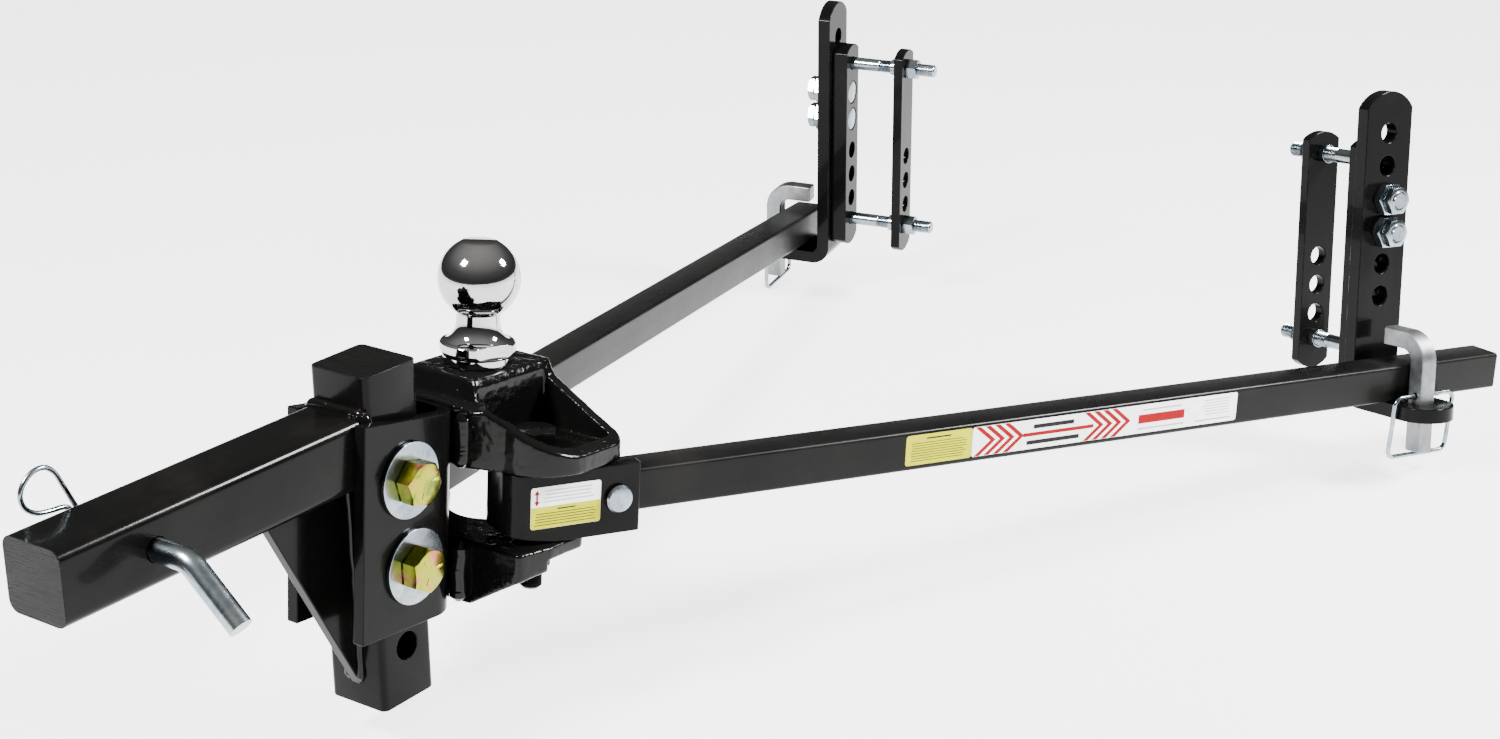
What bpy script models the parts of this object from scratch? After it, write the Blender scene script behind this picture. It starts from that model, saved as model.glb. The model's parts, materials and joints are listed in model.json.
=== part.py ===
"""Weight distribution hitch: 2 inch shank with drop bar, tilting ball head,
two swivelling spring arms and two trailer-frame brackets.

World frame: origin at the centre of the shank's front end face, +X rearwards
(towards the trailer), +Y towards the left arm, +Z up.  All driving dimensions
are in millimetres and are scaled to metres where the meshes are made.
"""
import bpy
import bmesh
from math import sin, cos, tan, radians, pi, sqrt, asin, atan2
from mathutils import Matrix, Vector, Quaternion

MM = 0.001

# ---------------------------------------------------------------- dimensions
GAP = 0.3                      # clearance left between touching pieces
FACETS = 0.62                  # share of the full facet count on round pieces

# shank and drop bar
BAR = 50.8                     # square bar of the shank and of the drop bar
SHANK_LEN = 257.1
SHANK_CORNER = 8.0
PIN_X = 72.4                   # hitch pin hole from the front end
PIN_HOLE_D = 16.5
DROP_X0, DROP_X1 = 257.4, 308.2
DROP_TOP, DROP_BOTTOM = 51.3, -195.2
DROP_CORNER = 5.0
DROP_HOLE_D = 20.2
DROP_HOLE_X = 282.8
DROP_HOLE_Z = (-26.3, -58.05, -89.8, -121.55, -153.3)
GUSSET_T = 9.0

# hitch pin and its spring clip
HITCH_PIN_D = 15.9
PIN_TIP_Y, PIN_BEND_Y = 46.0, -53.0
PIN_HANDLE_ANGLE = 40.0
PIN_HANDLE_LEN = 52.2
PIN_BEND_R = 18.0
CLIP_Y = 36.0
CLIP_D = 3.5
CLIP_HOLE_D = 4.3

# head
HEAD_TILT = 5.6                # degrees the head leans back on the drop bar
HEAD_ORIGIN = (282.8, 0.0, -89.8)
PLATE = 9.5
CHAN_IN, CHAN_OUT = 25.9, 35.4
CHAN_FRONT, CHAN_WEB_IN, CHAN_WEB_OUT = -48.4, 42.5, 52.0
CHAN_Z0, CHAN_Z1, CHAN_Z2 = -45.0, 109.3, 99.3
CHAN_BEND_IN = 17.0
HEAD_BOLT_D = 19.05
HEAD_BOLT_HOLE = 20.6
HEAD_BOLTS = ((0.0, 0.0), (-6.2, 63.2))    # (xh, zh) of the two cross bolts
WASHER_OD, WASHER_ID, WASHER_T = 54.0, 20.3, 3.0

CAST_Z0 = 56.6                 # underside of the upper casting
PLATFORM_Z, PLATFORM_T, PLATFORM_HALF = 116.0, 20.0, 30.0
CAST_REAR = 148.0
PIVOT_X, PIVOT_Y = 96.4, 60.1
EAR_X, EAR_Y, EAR_R = 101.6, 62.0, 39.5
POCKET_FLOOR = 68.0
JAW_TOP, JAW_EAR_R, JAW_HALF = 4.6, 31.0, 85.5

BALL_X = 103.5
BALL_R, BALL_Z = 29.37, 177.2
BALL_NECK_R, BALL_COLLAR_R = 15.5, 27.0
BALL_SHANK_D = 31.75

# spring arms and their sockets
ARM = 31.75
ARM_START, ARM_END = 19.6, 939.6
ARM_Z = 31.5                   # arm centreline height in the head frame
SOCKET_FRONT, SOCKET_REAR = -29.4, 71.6
SLOT_START = 18.6
SOCKET_HALF = 26.2
SOCKET_SLOT = 33.35
SOCKET_Z0, SOCKET_Z1 = 5.0, 56.0
SOCKET_PIN_T = 53.6
SOCKET_PIN_D = 15.9
ARM_YAW = {"right": -24.7, "left": 15.0}      # in the head plane, degrees

# frame brackets: station along the arm, yaw, pitch and roll of the bracket,
# and how far the arm's centreline stands off the leaf
BRACKET = {"right": dict(t=839.0, yaw=25.34, pitch=-4.67, roll=-7.12, off=30.6),
           "left": dict(t=905.0, yaw=12.70, pitch=2.18, roll=-0.76, off=29.0)}
LEAF_T, LEAF_HALF = 12.7, 26.0
LEAF_TOP, LEAF_CROWN = 250.0, 264.4           # above the top of the foot
LEAF_HOLE_TOP, LEAF_PITCH, LEAF_HOLE_D = 228.4, 28.7, 17.5
FOOT_END = 85.0
FOOT_BEND = 6.0
LINK_HALF = 17.7
INNER_T, OUTER_T = 15.9, 9.5
LINK_Z0, LINK_Z1 = 6.1, 221.5                 # above the top of the foot
LINK_TOP_ARCH, LINK_LOW_ARCH = 6.5, 8.0
FRAME_BOLT_Z = (34.0, 202.0)
LINK_HOLES = (109.0, 82.9, 56.7)
FRAME_GAP = 50.0
FRAME_BOLT_D = 12.7
FRAME_BOLT_END = -118.0
ANGLE_BOLT_D = 15.9
NUT_TURN = pi / 6                              # flats of the angle nuts face each other
ANGLE_BOLT_END = 18.2
L_PIN = 15.9                                  # square bar
L_PIN_POS = 56.3                              # leg centre from the leaf
L_PIN_R = 18.0
L_PIN_TOP, L_PIN_LOW, L_PIN_TIP = 43.5, -60.5, 15.5
WIRE_D = 4.0
BAIL_PIVOT = 6.4                              # above the top of the foot
BAIL_U0, BAIL_U1, BAIL_DROP = -29.4, 38.0, -54.0


# ------------------------------------------------------------------ helpers
def clear_scene():
    for ob in list(bpy.data.objects):
        bpy.data.objects.remove(ob, do_unlink=True)


def fillet(pts, radius, seg=5, closed=True):
    """Corners of a polyline turned into arcs; radius is one value or a list."""
    p = [Vector(q) if len(q) == 3 else Vector((q[0], q[1], 0.0)) for q in pts]
    flat = len(pts[0]) == 2
    out, n = [], len(p)
    for i in range(n):
        r = radius[i] if isinstance(radius, (list, tuple)) else radius
        if r <= 0 or (not closed and i in (0, n - 1)):
            out.append(p[i])
            continue
        a = (p[i - 1] - p[i]).normalized()
        b = (p[(i + 1) % n] - p[i]).normalized()
        half = a.angle(b) / 2
        c = p[i] + (a + b).normalized() * (r / sin(half))
        v0 = p[i] + a * (r / tan(half)) - c
        v1 = p[i] + b * (r / tan(half)) - c
        axis, ang = v0.cross(v1).normalized(), v0.angle(v1)
        for k in range(seg + 1):
            out.append(c + Quaternion(axis, ang * k / seg) @ v0)
    return [(v.x, v.y) for v in out] if flat else [tuple(v) for v in out]


def rect(a0, a1, b0, b1):
    return [(a0, b0), (a1, b0), (a1, b1), (a0, b1)]


def arc(cx, cy, r, a0, a1, seg):
    """Points of an arc, angles in degrees."""
    return [(cx + r * cos(radians(a0 + (a1 - a0) * k / seg)),
             cy + r * sin(radians(a0 + (a1 - a0) * k / seg))) for k in range(seg + 1)]


def crown(half, side_z, top_z, seg=10):
    """Arched top of a strap, from +half to -half."""
    rise = top_z - side_z
    r = (half * half + rise * rise) / (2 * rise)
    a = asin(half / r)
    return [(r * sin(a - 2 * a * k / seg), top_z - r + r * cos(a - 2 * a * k / seg))
            for k in range(seg + 1)]


def prism(pts, axis, lo, hi):
    """Closed outline extruded along x, y or z (bmesh extrude)."""
    lo, hi = min(lo, hi), max(lo, hi)

    def at(a, b, h):
        return Vector({"x": (h, a, b), "y": (a, h, b), "z": (a, b, h)}[axis]) * MM

    bm = bmesh.new()
    face = bm.faces.new([bm.verts.new(at(a, b, lo)) for a, b in pts])
    grown = bmesh.ops.extrude_face_region(bm, geom=[face])
    top = [g for g in grown["geom"] if isinstance(g, bmesh.types.BMVert)]
    bmesh.ops.translate(bm, vec=at(0, 0, hi - lo), verts=top)
    bmesh.ops.recalc_face_normals(bm, faces=bm.faces)
    return bm


def sides(n):
    """Facets of a round piece: n on a display model, fewer on this one."""
    return n if n <= 8 else max(12, 2 * round(n * FACETS / 2))


def cyl(a, b, r, n=24, r2=None, turn=0.0):
    """Cylinder or cone between two points."""
    n = sides(n)
    a, b = Vector(a) * MM, Vector(b) * MM
    d = b - a
    m = (Matrix.Translation((a + b) / 2) @ d.to_track_quat("Z", "Y").to_matrix().to_4x4()
         @ Matrix.Rotation(turn, 4, "Z"))
    bm = bmesh.new()
    bmesh.ops.create_cone(bm, cap_ends=True, cap_tris=False, segments=n, radius1=r * MM,
                          radius2=(r if r2 is None else r2) * MM, depth=d.length, matrix=m)
    bmesh.ops.recalc_face_normals(bm, faces=bm.faces)
    return bm


def hexbar(a, b, across, turn=0.0):
    return cyl(a, b, across / sqrt(3), n=6, turn=turn)


def lathe(profile, n, place=None):
    """Profile of (radius, height) turned about z (bmesh spin), then placed."""
    n = sides(n)
    bm = bmesh.new()
    vs = [bm.verts.new((r * MM, 0, h * MM)) for r, h in profile]
    es = [bm.edges.new((vs[i], vs[i + 1])) for i in range(len(vs) - 1)]
    bmesh.ops.spin(bm, geom=vs + es, cent=(0, 0, 0), axis=(0, 0, 1), dvec=(0, 0, 0),
                   angle=2 * pi, steps=n, use_merge=True, use_duplicate=False)
    bmesh.ops.remove_doubles(bm, verts=bm.verts, dist=1e-6)
    if place is not None:
        bm.transform(place)
    bmesh.ops.recalc_face_normals(bm, faces=bm.faces)
    return bm


def along(point, direction):
    """Matrix that puts a lathe's z axis on a line (millimetres)."""
    return (Matrix.Translation(Vector(point) * MM)
            @ Vector(direction).to_track_quat("Z", "Y").to_matrix().to_4x4())


def to_temp(bm):
    me = bpy.data.meshes.new("tmp")
    bm.to_mesh(me)
    bm.free()
    ob = bpy.data.objects.new("tmp", me)
    bpy.context.scene.collection.objects.link(ob)
    return ob


def evaluated(ob):
    bpy.context.view_layer.update()
    dg = bpy.context.evaluated_depsgraph_get()
    me = bpy.data.meshes.new_from_object(ob.evaluated_get(dg))
    bm = bmesh.new()
    bm.from_mesh(me)
    bpy.data.meshes.remove(me)
    return bm


def carve(base, tools):
    """Boolean steps (operation, bmesh) on a base, EXACT solver."""
    ob = to_temp(base)
    cutters = []
    for op, t in tools:
        c = to_temp(t)
        c.hide_render = True
        c.display_type = "WIRE"
        m = ob.modifiers.new("cut", "BOOLEAN")
        m.operation, m.object, m.solver = op, c, "EXACT"
        cutters.append(c)
    bm = evaluated(ob)
    for o in [ob] + cutters:
        me = o.data
        bpy.data.objects.remove(o, do_unlink=True)
        bpy.data.meshes.remove(me)
    bmesh.ops.remove_doubles(bm, verts=bm.verts, dist=1e-7)
    bmesh.ops.dissolve_degenerate(bm, dist=1e-7, edges=bm.edges)
    return bm


def minus(base, *tools):
    return carve(base, [("DIFFERENCE", t) for t in tools])


def common(base, *tools):
    return carve(base, [("INTERSECT", t) for t in tools])


def wire(pts, d, res=2):
    """Round wire along points: a curve with a bevel and filled caps."""
    cu = bpy.data.curves.new("wire", "CURVE")
    cu.dimensions = "3D"
    sp = cu.splines.new("POLY")
    sp.points.add(len(pts) - 1)
    for q, p in zip(sp.points, pts):
        q.co = (p[0] * MM, p[1] * MM, p[2] * MM, 1.0)
    cu.bevel_depth = d / 2 * MM
    cu.bevel_resolution = res
    cu.use_fill_caps = True
    ob = bpy.data.objects.new("wire", cu)
    bpy.context.scene.collection.objects.link(ob)
    bm = evaluated(ob)
    bpy.data.objects.remove(ob, do_unlink=True)
    bpy.data.curves.remove(cu)
    bmesh.ops.remove_doubles(bm, verts=bm.verts, dist=1e-6)
    bmesh.ops.recalc_face_normals(bm, faces=bm.faces)
    return bm


def smooth_path(pts, per=4):
    """Catmull-Rom curve through planar points."""
    out = []
    n = len(pts)
    for i in range(n - 1):
        p0, p1, p2, p3 = pts[max(i - 1, 0)], pts[i], pts[i + 1], pts[min(i + 2, n - 1)]
        for k in range(per):
            t = k / per
            out.append(tuple(0.5 * (2 * b + (c - a) * t + (2 * a - 5 * b + 4 * c - d) * t * t
                                    + (3 * b - a - 3 * c + d) * t ** 3)
                             for a, b, c, d in zip(p0, p1, p2, p3)))
    out.append(tuple(pts[-1]))
    return out


def frame(origin, x, z):
    """World matrix from an origin in millimetres and two axes."""
    x, z = Vector(x).normalized(), Vector(z).normalized()
    y = z.cross(x)
    o = Vector(origin) * MM
    return Matrix(((x.x, y.x, z.x, o.x), (x.y, y.y, z.y, o.y), (x.z, y.z, z.z, o.z), (0, 0, 0, 1)))


FINISH = {
    "gloss_black": ((0.012, 0.012, 0.014, 1), 0.22, 0.0),
    "chrome": ((0.75, 0.76, 0.78, 1), 0.06, 1.0),
    "zinc": ((0.62, 0.65, 0.68, 1), 0.28, 1.0),
    "yellow_zinc": ((0.72, 0.62, 0.33, 1), 0.3, 1.0),
    "galvanised": ((0.60, 0.62, 0.63, 1), 0.42, 1.0),
}


def finish_of(node, kind):
    rgb, rough, metal = FINISH[kind]
    m = bpy.data.materials.new(node + "_" + kind)
    m.use_nodes = True
    p = m.node_tree.nodes["Principled BSDF"]
    p.inputs["Base Color"].default_value = rgb
    p.inputs["Roughness"].default_value = rough
    p.inputs["Metallic"].default_value = metal
    m.diffuse_color = rgb
    return m


def node(name, bm, kind, place=None, parent=None, sharp=32.0):
    """One piece: mesh, material, smooth shading, placed by its matrix."""
    bmesh.ops.recalc_face_normals(bm, faces=bm.faces)
    me = bpy.data.meshes.new(name)
    bm.to_mesh(me)
    bm.free()
    me.shade_smooth()
    me.set_sharp_from_angle(angle=radians(sharp))
    ob = bpy.data.objects.new(name, me)
    bpy.context.scene.collection.objects.link(ob)
    if parent is not None:
        ob.parent = parent
    ob.matrix_world = place if place is not None else Matrix.Identity(4)
    me.materials.append(finish_of(name, kind))
    return ob


def empty(name, place, parent=None):
    ob = bpy.data.objects.new(name, None)
    ob.empty_display_size = 0.03
    bpy.context.scene.collection.objects.link(ob)
    if parent is not None:
        ob.parent = parent
    ob.matrix_world = place
    return ob


# --------------------------------------------------------------- main frames
TILT = radians(HEAD_TILT)
XH = Vector((cos(TILT), 0, -sin(TILT)))
ZH = Vector((sin(TILT), 0, cos(TILT)))
HC = Vector(HEAD_ORIGIN)
HEAD = frame(HC, XH, ZH)


def head_point(x, y, z):
    return HC + XH * x + Vector((0, y, 0)) + ZH * z


def arm_axes(side):
    a = radians(ARM_YAW[side])
    u = XH * cos(a) + Vector((0, 1, 0)) * sin(a)
    s = 1 if side == "left" else -1
    return u, head_point(PIVOT_X, s * PIVOT_Y, ARM_Z), s


def bracket_frame(side):
    """Origin on the arm's centreline station, moved inboard to the leaf's outer face."""
    b = BRACKET[side]
    u, pivot, s = arm_axes(side)
    a, p, r = radians(b["yaw"]), radians(b["pitch"]), radians(b["roll"])
    h = Vector((cos(a), s * sin(a), 0))
    level = Vector((-sin(a), s * cos(a), 0))
    up = Vector((0, 0, 1))
    x = h * cos(p) + up * sin(p)
    z1 = up * cos(p) - h * sin(p)
    out = level * cos(r) - z1 * sin(r)
    z = z1 * cos(r) + level * sin(r)
    origin = pivot + u * b["t"] - out * b["off"]
    return origin, x, out, z


def foot_top(side):
    """Height in the bracket frame of the foot's top, just under the arm."""
    u, pivot, s = arm_axes(side)
    origin, x, out, z = bracket_frame(side)
    v = ZH.cross(u)
    low = 1e9
    for w in (-ARM / 2, ARM / 2):
        for edge in (-LEAF_HALF, LEAF_HALF):
            base = pivot + v * w - ZH * (ARM / 2)
            t = (edge - (base - origin).dot(x)) / u.dot(x)
            low = min(low, (base + u * t - origin).dot(z))
    return low - 0.4


# ------------------------------------------------------------ shank and pin
def build_shank():
    h = BAR / 2
    bm = prism(fillet(rect(-h, h, -h, h), SHANK_CORNER, 5), "x", 0, SHANK_LEN)
    node("shank_bar", minus(bm, cyl((PIN_X, -40, 0), (PIN_X, 40, 0), PIN_HOLE_D / 2, 28)), "gloss_black")

    bm = prism(fillet(rect(DROP_X0, DROP_X1, -h, h), DROP_CORNER, 4), "z", DROP_BOTTOM, DROP_TOP)
    holes = [cyl((DROP_HOLE_X, -40, z), (DROP_HOLE_X, 40, z), DROP_HOLE_D / 2, 28) for z in DROP_HOLE_Z]
    node("drop_bar", minus(bm, *holes), "gloss_black")

    tri = [(178.0, -h - GAP), (DROP_X0 - GAP, -h - GAP), (DROP_X0 - GAP, -179.0)]
    node("shank_gusset", prism(tri, "y", -GUSSET_T / 2, GUSSET_T / 2), "gloss_black")


def build_hitch_pin():
    a = radians(PIN_HANDLE_ANGLE)
    joint = empty("hitch_pin_axis", Matrix.Translation((PIN_X * MM, 0, 0)))
    tip = (0, PIN_BEND_Y - PIN_HANDLE_LEN * cos(a), -PIN_HANDLE_LEN * sin(a))
    path = fillet([(0, PIN_TIP_Y, 0), (0, PIN_BEND_Y, 0), tip], PIN_BEND_R, 6, closed=False)
    leg = Vector((0.431, 0, -0.902)).normalized()
    hole = cyl(Vector((0, CLIP_Y, 0)) - leg * 12, Vector((0, CLIP_Y, 0)) + leg * 12, CLIP_HOLE_D / 2, 16)
    node("hitch_pin", minus(wire(path, HITCH_PIN_D, 4), hole), "zinc",
         Matrix.Translation((PIN_X * MM, 0, 0)), joint)

    # spring clip: straight leg through the pin, round eye, bowed outer leg
    side = Vector((-leg.z, 0, leg.x)) * -1
    pts = [(18, 0), (8, 0), (-8, 0), (-24, 0), (-38, 0), (-48, 0.3), (-56.0, 4.0), (-60, 12),
           (-58.5, 21.5), (-53, 27.5), (-44.5, 28.5), (-36, 24), (-29.5, 15.5), (-25, 8.0), (-21, 4.6),
           (-17, 4.9), (-12, 8.0), (-6, 10.7), (0, 11.1), (8, 10.7), (15, 10.7), (20, 12.6)]
    path = [tuple(leg * t + side * n + Vector((0, CLIP_Y, 0))) for t, n in smooth_path(pts, 2)]
    node("hitch_pin_clip", wire(path, CLIP_D, 2), "zinc", Matrix.Translation((PIN_X * MM, 0, 0)), joint)


# --------------------------------------------------------------------- head
def build_head():
    r_out = CHAN_BEND_IN + (CHAN_WEB_OUT - CHAN_WEB_IN)
    outline = [(CHAN_FRONT, -CHAN_OUT), (CHAN_WEB_OUT, -CHAN_OUT), (CHAN_WEB_OUT, CHAN_OUT),
               (CHAN_FRONT, CHAN_OUT), (CHAN_FRONT, CHAN_IN), (CHAN_WEB_IN, CHAN_IN),
               (CHAN_WEB_IN, -CHAN_IN), (CHAN_FRONT, -CHAN_IN)]
    radii = [0, r_out, r_out, 0, 0, CHAN_BEND_IN, CHAN_BEND_IN, 0]
    bm = prism(fillet(outline, radii, 7), "z", CHAN_Z0, CHAN_Z1)
    keep = prism(fillet([(CHAN_FRONT - 5, CHAN_Z0), (CHAN_WEB_OUT + 0.001, CHAN_Z0),
                         (CHAN_WEB_OUT + 0.001, CHAN_Z2), (CHAN_FRONT, CHAN_Z1), (CHAN_FRONT - 5, CHAN_Z1)],
                        [0, 14.0, 0, 0, 0], 6), "y", -50, 50)
    holes = [cyl((x, -50, z), (x, 50, z), HEAD_BOLT_HOLE / 2, 28) for x, z in HEAD_BOLTS]
    stem = cyl((30, 0, -30), (60, 0, -30), 5.4, 20)
    bm = carve(bm, [("INTERSECT", keep)] + [("DIFFERENCE", c) for c in holes] + [("DIFFERENCE", stem)])
    node("head_channel", bm, "gloss_black", HEAD)

    for label, (x, z) in zip(("lower", "upper"), HEAD_BOLTS):
        bolt = [(0, 60.0), (8.3, 60.0), (9.52, 58.6), (9.52, -39.0), (0, -39.0)]
        shaft = lathe([(r, h) for r, h in bolt], 28, along((x, 0, z), (0, 1, 0)))
        cap = hexbar((x, -51.5, z), (x, -38.99, z), 28.6, turn=0.35 if label == "upper" else 0.1)
        node(label + "_head_bolt", carve(cap, [("UNION", shaft)]), "yellow_zinc", HEAD)
        for tag, s in (("near", -1), ("far", 1)):
            y0, y1 = s * (CHAN_OUT + GAP), s * (CHAN_OUT + GAP + WASHER_T)
            ring = minus(cyl((x, y0, z), (x, y1, z), WASHER_OD / 2, 36),
                         cyl((x, y0 - s * 2, z), (x, y1 + s * 2, z), WASHER_ID / 2, 24))
            node(label + "_head_washer_" + tag, ring, "zinc", HEAD)
        nut = minus(hexbar((x, 39.0, z), (x, 55.0, z), 28.6, turn=0.2),
                    cyl((x, 30, z), (x, 60, z), HEAD_BOLT_D / 2 + 0.35, 24))
        node(label + "_head_nut", nut, "zinc", HEAD)

    # rivet with its washers, between the drop bar and the channel's web
    prof = [(0, 29.9)]
    x = 29.9
    for k in range(3):
        prof += [(10.4, x), (10.4, x + 3.6)] + ([(9.4, x + 3.6), (9.4, x + 4.0)] if k < 2 else [])
        x += 4.0
    prof += [(5.0, prof[-1][1]), (5.0, 51.7), (0, 51.7)]
    node("tilt_spacer", lathe([(r, h) for r, h in prof], 24, along((0, 0, -30), (1, 0, 0))), "zinc", HEAD)


def upper_outline(grow=0.0):
    right = [(52.3, 0.0), (52.3, -38.0), (62.1, -62.0)]
    right += arc(EAR_X, -EAR_Y, EAR_R, 180, 270, 9)[1:]
    right += fillet([(CAST_REAR - 60, -101.5), (CAST_REAR, -101.5), (CAST_REAR, 0)], 10, 4, False)[1:-1]
    left = [(x, -y) for x, y in reversed(right[1:])]
    return right[1:] + left


def build_castings():
    z0, z1 = CAST_Z0, PLATFORM_Z
    plan = prism(upper_outline(), "z", z0, z1 + 10)
    half = [(101.5, z0), (101.5, 69.0), (95.0, 74.0), (36.0, 105.0), (PLATFORM_HALF, z1)]
    front = prism(half + [(-y, z) for y, z in reversed(half)], "x", 30, 170)
    side = prism([(50, z0 - 5), (170, z0 - 5), (170, z1 + 12), (66.0, z1 + 12), (66.0, z1), (60.0, 101.0),
                  (52.0, 97.0), (50, 97.0)], "y", -120, 120)
    tools = [("INTERSECT", front), ("INTERSECT", side)]
    for s in (1, -1):
        pocket = arc(EAR_X, s * EAR_Y, 31.0, 180, 180 + s * -90, 8)
        pocket += [(139.0, s * (EAR_Y + 31.0)), (139.0, s * 33.0), (63.0, s * 33.0), (63.0, s * 50.0)]
        tools.append(("DIFFERENCE", prism(pocket, "z", POCKET_FLOOR, z1 + 20)))
        tools.append(("DIFFERENCE", cyl((PIVOT_X, s * PIVOT_Y, z0 - 5), (PIVOT_X, s * PIVOT_Y, 80), 10.0, 28)))
    cavity = prism(fillet(rect(66.0, 140.0, -27.0, 27.0), 6.0, 3), "z", z0 - 10, z1 - PLATFORM_T)
    tools.append(("DIFFERENCE", cavity))
    tools.append(("DIFFERENCE", cyl((BALL_X, 0, 80), (BALL_X, 0, 130), BALL_SHANK_D / 2 + 0.35, 32)))
    node("upper_head", carve(plan, tools), "gloss_black", HEAD)

    top = JAW_TOP
    right = [(52.3, 0.0), (52.3, -36.0)] + arc(56.5, -JAW_HALF + 4.0, 4.0, 190, 262, 3)
    right += arc(EAR_X, -EAR_Y, JAW_EAR_R, -96, 50, 14)
    right += arc(119.0, 0.0, 28.5, 232, 180, 6)
    left = [(x, -y) for x, y in reversed(right[1:-1])]
    plan = prism(right[1:] + left, "z", -42.5, top)
    side = prism([(50, top + 5), (50, -42.5), (62, -42.5), (62, -16), (80, -16), (80, top - PLATE),
                  (155, top - PLATE), (155, top + 5)], "y", -100, 100)
    front = prism([(-90, top + 5), (90, top + 5), (90, -12.2), (40, -42.6), (-40, -42.6), (-90, -12.2)],
                  "x", 40, 160)
    tools = [("INTERSECT", side), ("INTERSECT", front)]
    for s in (1, -1):
        tools.append(("DIFFERENCE", cyl((PIVOT_X, s * PIVOT_Y, -20), (PIVOT_X, s * PIVOT_Y, 20), 10.1, 28)))
    node("lower_head", carve(plan, tools), "gloss_black", HEAD)


def ball_profile(n=10):
    a0 = asin(12.6 / BALL_R)
    a1 = pi - asin(BALL_NECK_R / BALL_R)
    prof = [(0, BALL_Z + BALL_R * cos(a0))]
    prof += [(BALL_R * sin(a0 + (a1 - a0) * k / n), BALL_Z + BALL_R * cos(a0 + (a1 - a0) * k / n))
             for k in range(n + 1)]
    flare = [(BALL_NECK_R, 147.0)]
    for k in range(1, 5):
        a = radians(90 * k / 4)
        flare.append((BALL_NECK_R + (BALL_COLLAR_R - 1.0 - BALL_NECK_R) * (1 - cos(a)), 147.0 - 15.0 * sin(a)))
    prof += flare + [(BALL_COLLAR_R, 131.0), (BALL_COLLAR_R, 125.5), (24.5, 122.0), (24.5, PLATFORM_Z + GAP),
                     (BALL_SHANK_D / 2, PLATFORM_Z + GAP), (BALL_SHANK_D / 2, 65.0),
                     (BALL_SHANK_D / 2 - 1.2, 63.8), (0, 63.8)]
    return prof


def build_ball():
    bm = lathe(ball_profile(), 40, Matrix.Translation((BALL_X * MM, 0, 0)))
    n = Vector((-0.30, -0.954, 0)).normalized()
    t = Vector((-n.y, n.x, 0))
    tools = []
    for s in (1, -1):
        c = Vector((BALL_X, 0, 0)) + n * (s * 22.6)
        q = [c - t * 40, c + t * 40, c + t * 40 + n * (s * 30), c - t * 40 + n * (s * 30)]
        tools.append(("DIFFERENCE", prism([(p.x, p.y) for p in (q if s > 0 else q[::-1])], "z", 123.5, 137.0)))
    node("hitch_ball", carve(bm, tools), "chrome", HEAD)

    low = PLATFORM_Z - PLATFORM_T - GAP
    washer = minus(cyl((BALL_X, 0, low - 6), (BALL_X, 0, low), 23.0, 36),
                   cyl((BALL_X, 0, low - 10), (BALL_X, 0, low + 5), 16.5, 28),
                   prism(rect(BALL_X + 10, BALL_X + 30, -0.8, 0.8), "z", low - 8, low + 3))
    node("ball_lock_washer", washer, "zinc", HEAD)
    top = low - 6 - GAP
    nut = minus(hexbar((BALL_X, 0, top - 22), (BALL_X, 0, top), 41.3, turn=0.26),
                cyl((BALL_X, 0, top - 30), (BALL_X, 0, top + 5), BALL_SHANK_D / 2 + 0.35, 32))
    node("ball_nut", nut, "zinc", HEAD)


# --------------------------------------------------------------------- arms
def build_arm(side):
    u, pivot, s = arm_axes(side)
    place = frame(pivot, u, ZH)
    swivel = empty(side + "_arm_swivel", place)
    z0, z1 = SOCKET_Z0 - ARM_Z, SOCKET_Z1 - ARM_Z

    outline = fillet([(SOCKET_FRONT, -SOCKET_HALF), (SOCKET_REAR, -SOCKET_HALF), (SOCKET_REAR, SOCKET_HALF),
                      (SOCKET_FRONT, SOCKET_HALF)], [16, 2, 2, 16], 6)
    slot = prism(rect(SLOT_START, SOCKET_REAR + 10, -SOCKET_SLOT / 2, SOCKET_SLOT / 2), "z", z0 - 10, z1 + 10)
    chamfer = prism([(SOCKET_FRONT - 10, z0 - 10), (SOCKET_FRONT - 10, z0 + 7.5), (5, z0), (5, z0 - 10)],
                    "y", -40, 40)
    bore = cyl((0, 0, z0 - 10), (0, 0, z1 + 10), 9.95, 28)
    hole = cyl((SOCKET_PIN_T, -40, 0), (SOCKET_PIN_T, 40, 0), SOCKET_PIN_D / 2 + 0.35, 28)
    node(side + "_socket", minus(prism(outline, "z", z0, z1), slot, chamfer, bore, hole),
         "gloss_black", place, swivel)

    a = ARM / 2
    bar = prism(fillet(rect(-a, a, -a, a), 3.0, 3), "x", ARM_START, ARM_END)
    hole = cyl((SOCKET_PIN_T, -40, 0), (SOCKET_PIN_T, 40, 0), SOCKET_PIN_D / 2 + 0.35, 28)
    node(side + "_spring_arm", minus(bar, hole), "gloss_black", place, swivel)

    o = SOCKET_HALF + GAP
    r = SOCKET_PIN_D / 2
    prof = [(0, -o - 3.4), (8.6, -o - 3.4), (10.0, -o - 2.2), (10.0, -o), (r, -o), (r, o), (10.2, o),
            (10.2, o + 2.6), (9.0, o + 4.3), (6.0, o + 5.0), (0, o + 5.2)]
    node(side + "_socket_pin", lathe(prof, 28, along((SOCKET_PIN_T, 0, 0), (0, s, 0))), "zinc", place, swivel)

    # king bolt through both castings, in the head frame
    c = (PIVOT_X, s * PIVOT_Y)
    prof = [(0, -36.0), (6.9, -36.0), (7.95, -34.6), (7.95, -5.0), (9.52, -4.6), (9.52, POCKET_FLOOR + GAP),
            (0, POCKET_FLOOR + GAP)]
    shaft = lathe(prof, 28, Matrix.Translation((c[0] * MM, c[1] * MM, 0)))
    cap = hexbar((*c, POCKET_FLOOR + GAP - 0.01), (*c, POCKET_FLOOR + GAP + 13.5), 28.6, turn=0.15)
    node(side + "_socket_bolt", carve(cap, [("UNION", shaft)]), "gloss_black", HEAD)
    top = JAW_TOP - PLATE - GAP
    nut = minus(hexbar((*c, top - 14.0), (*c, top), 23.8, turn=0.4), cyl((*c, top - 20), (*c, top + 5), 8.3, 24))
    node(side + "_socket_nut", nut, "gloss_black", HEAD)


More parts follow.
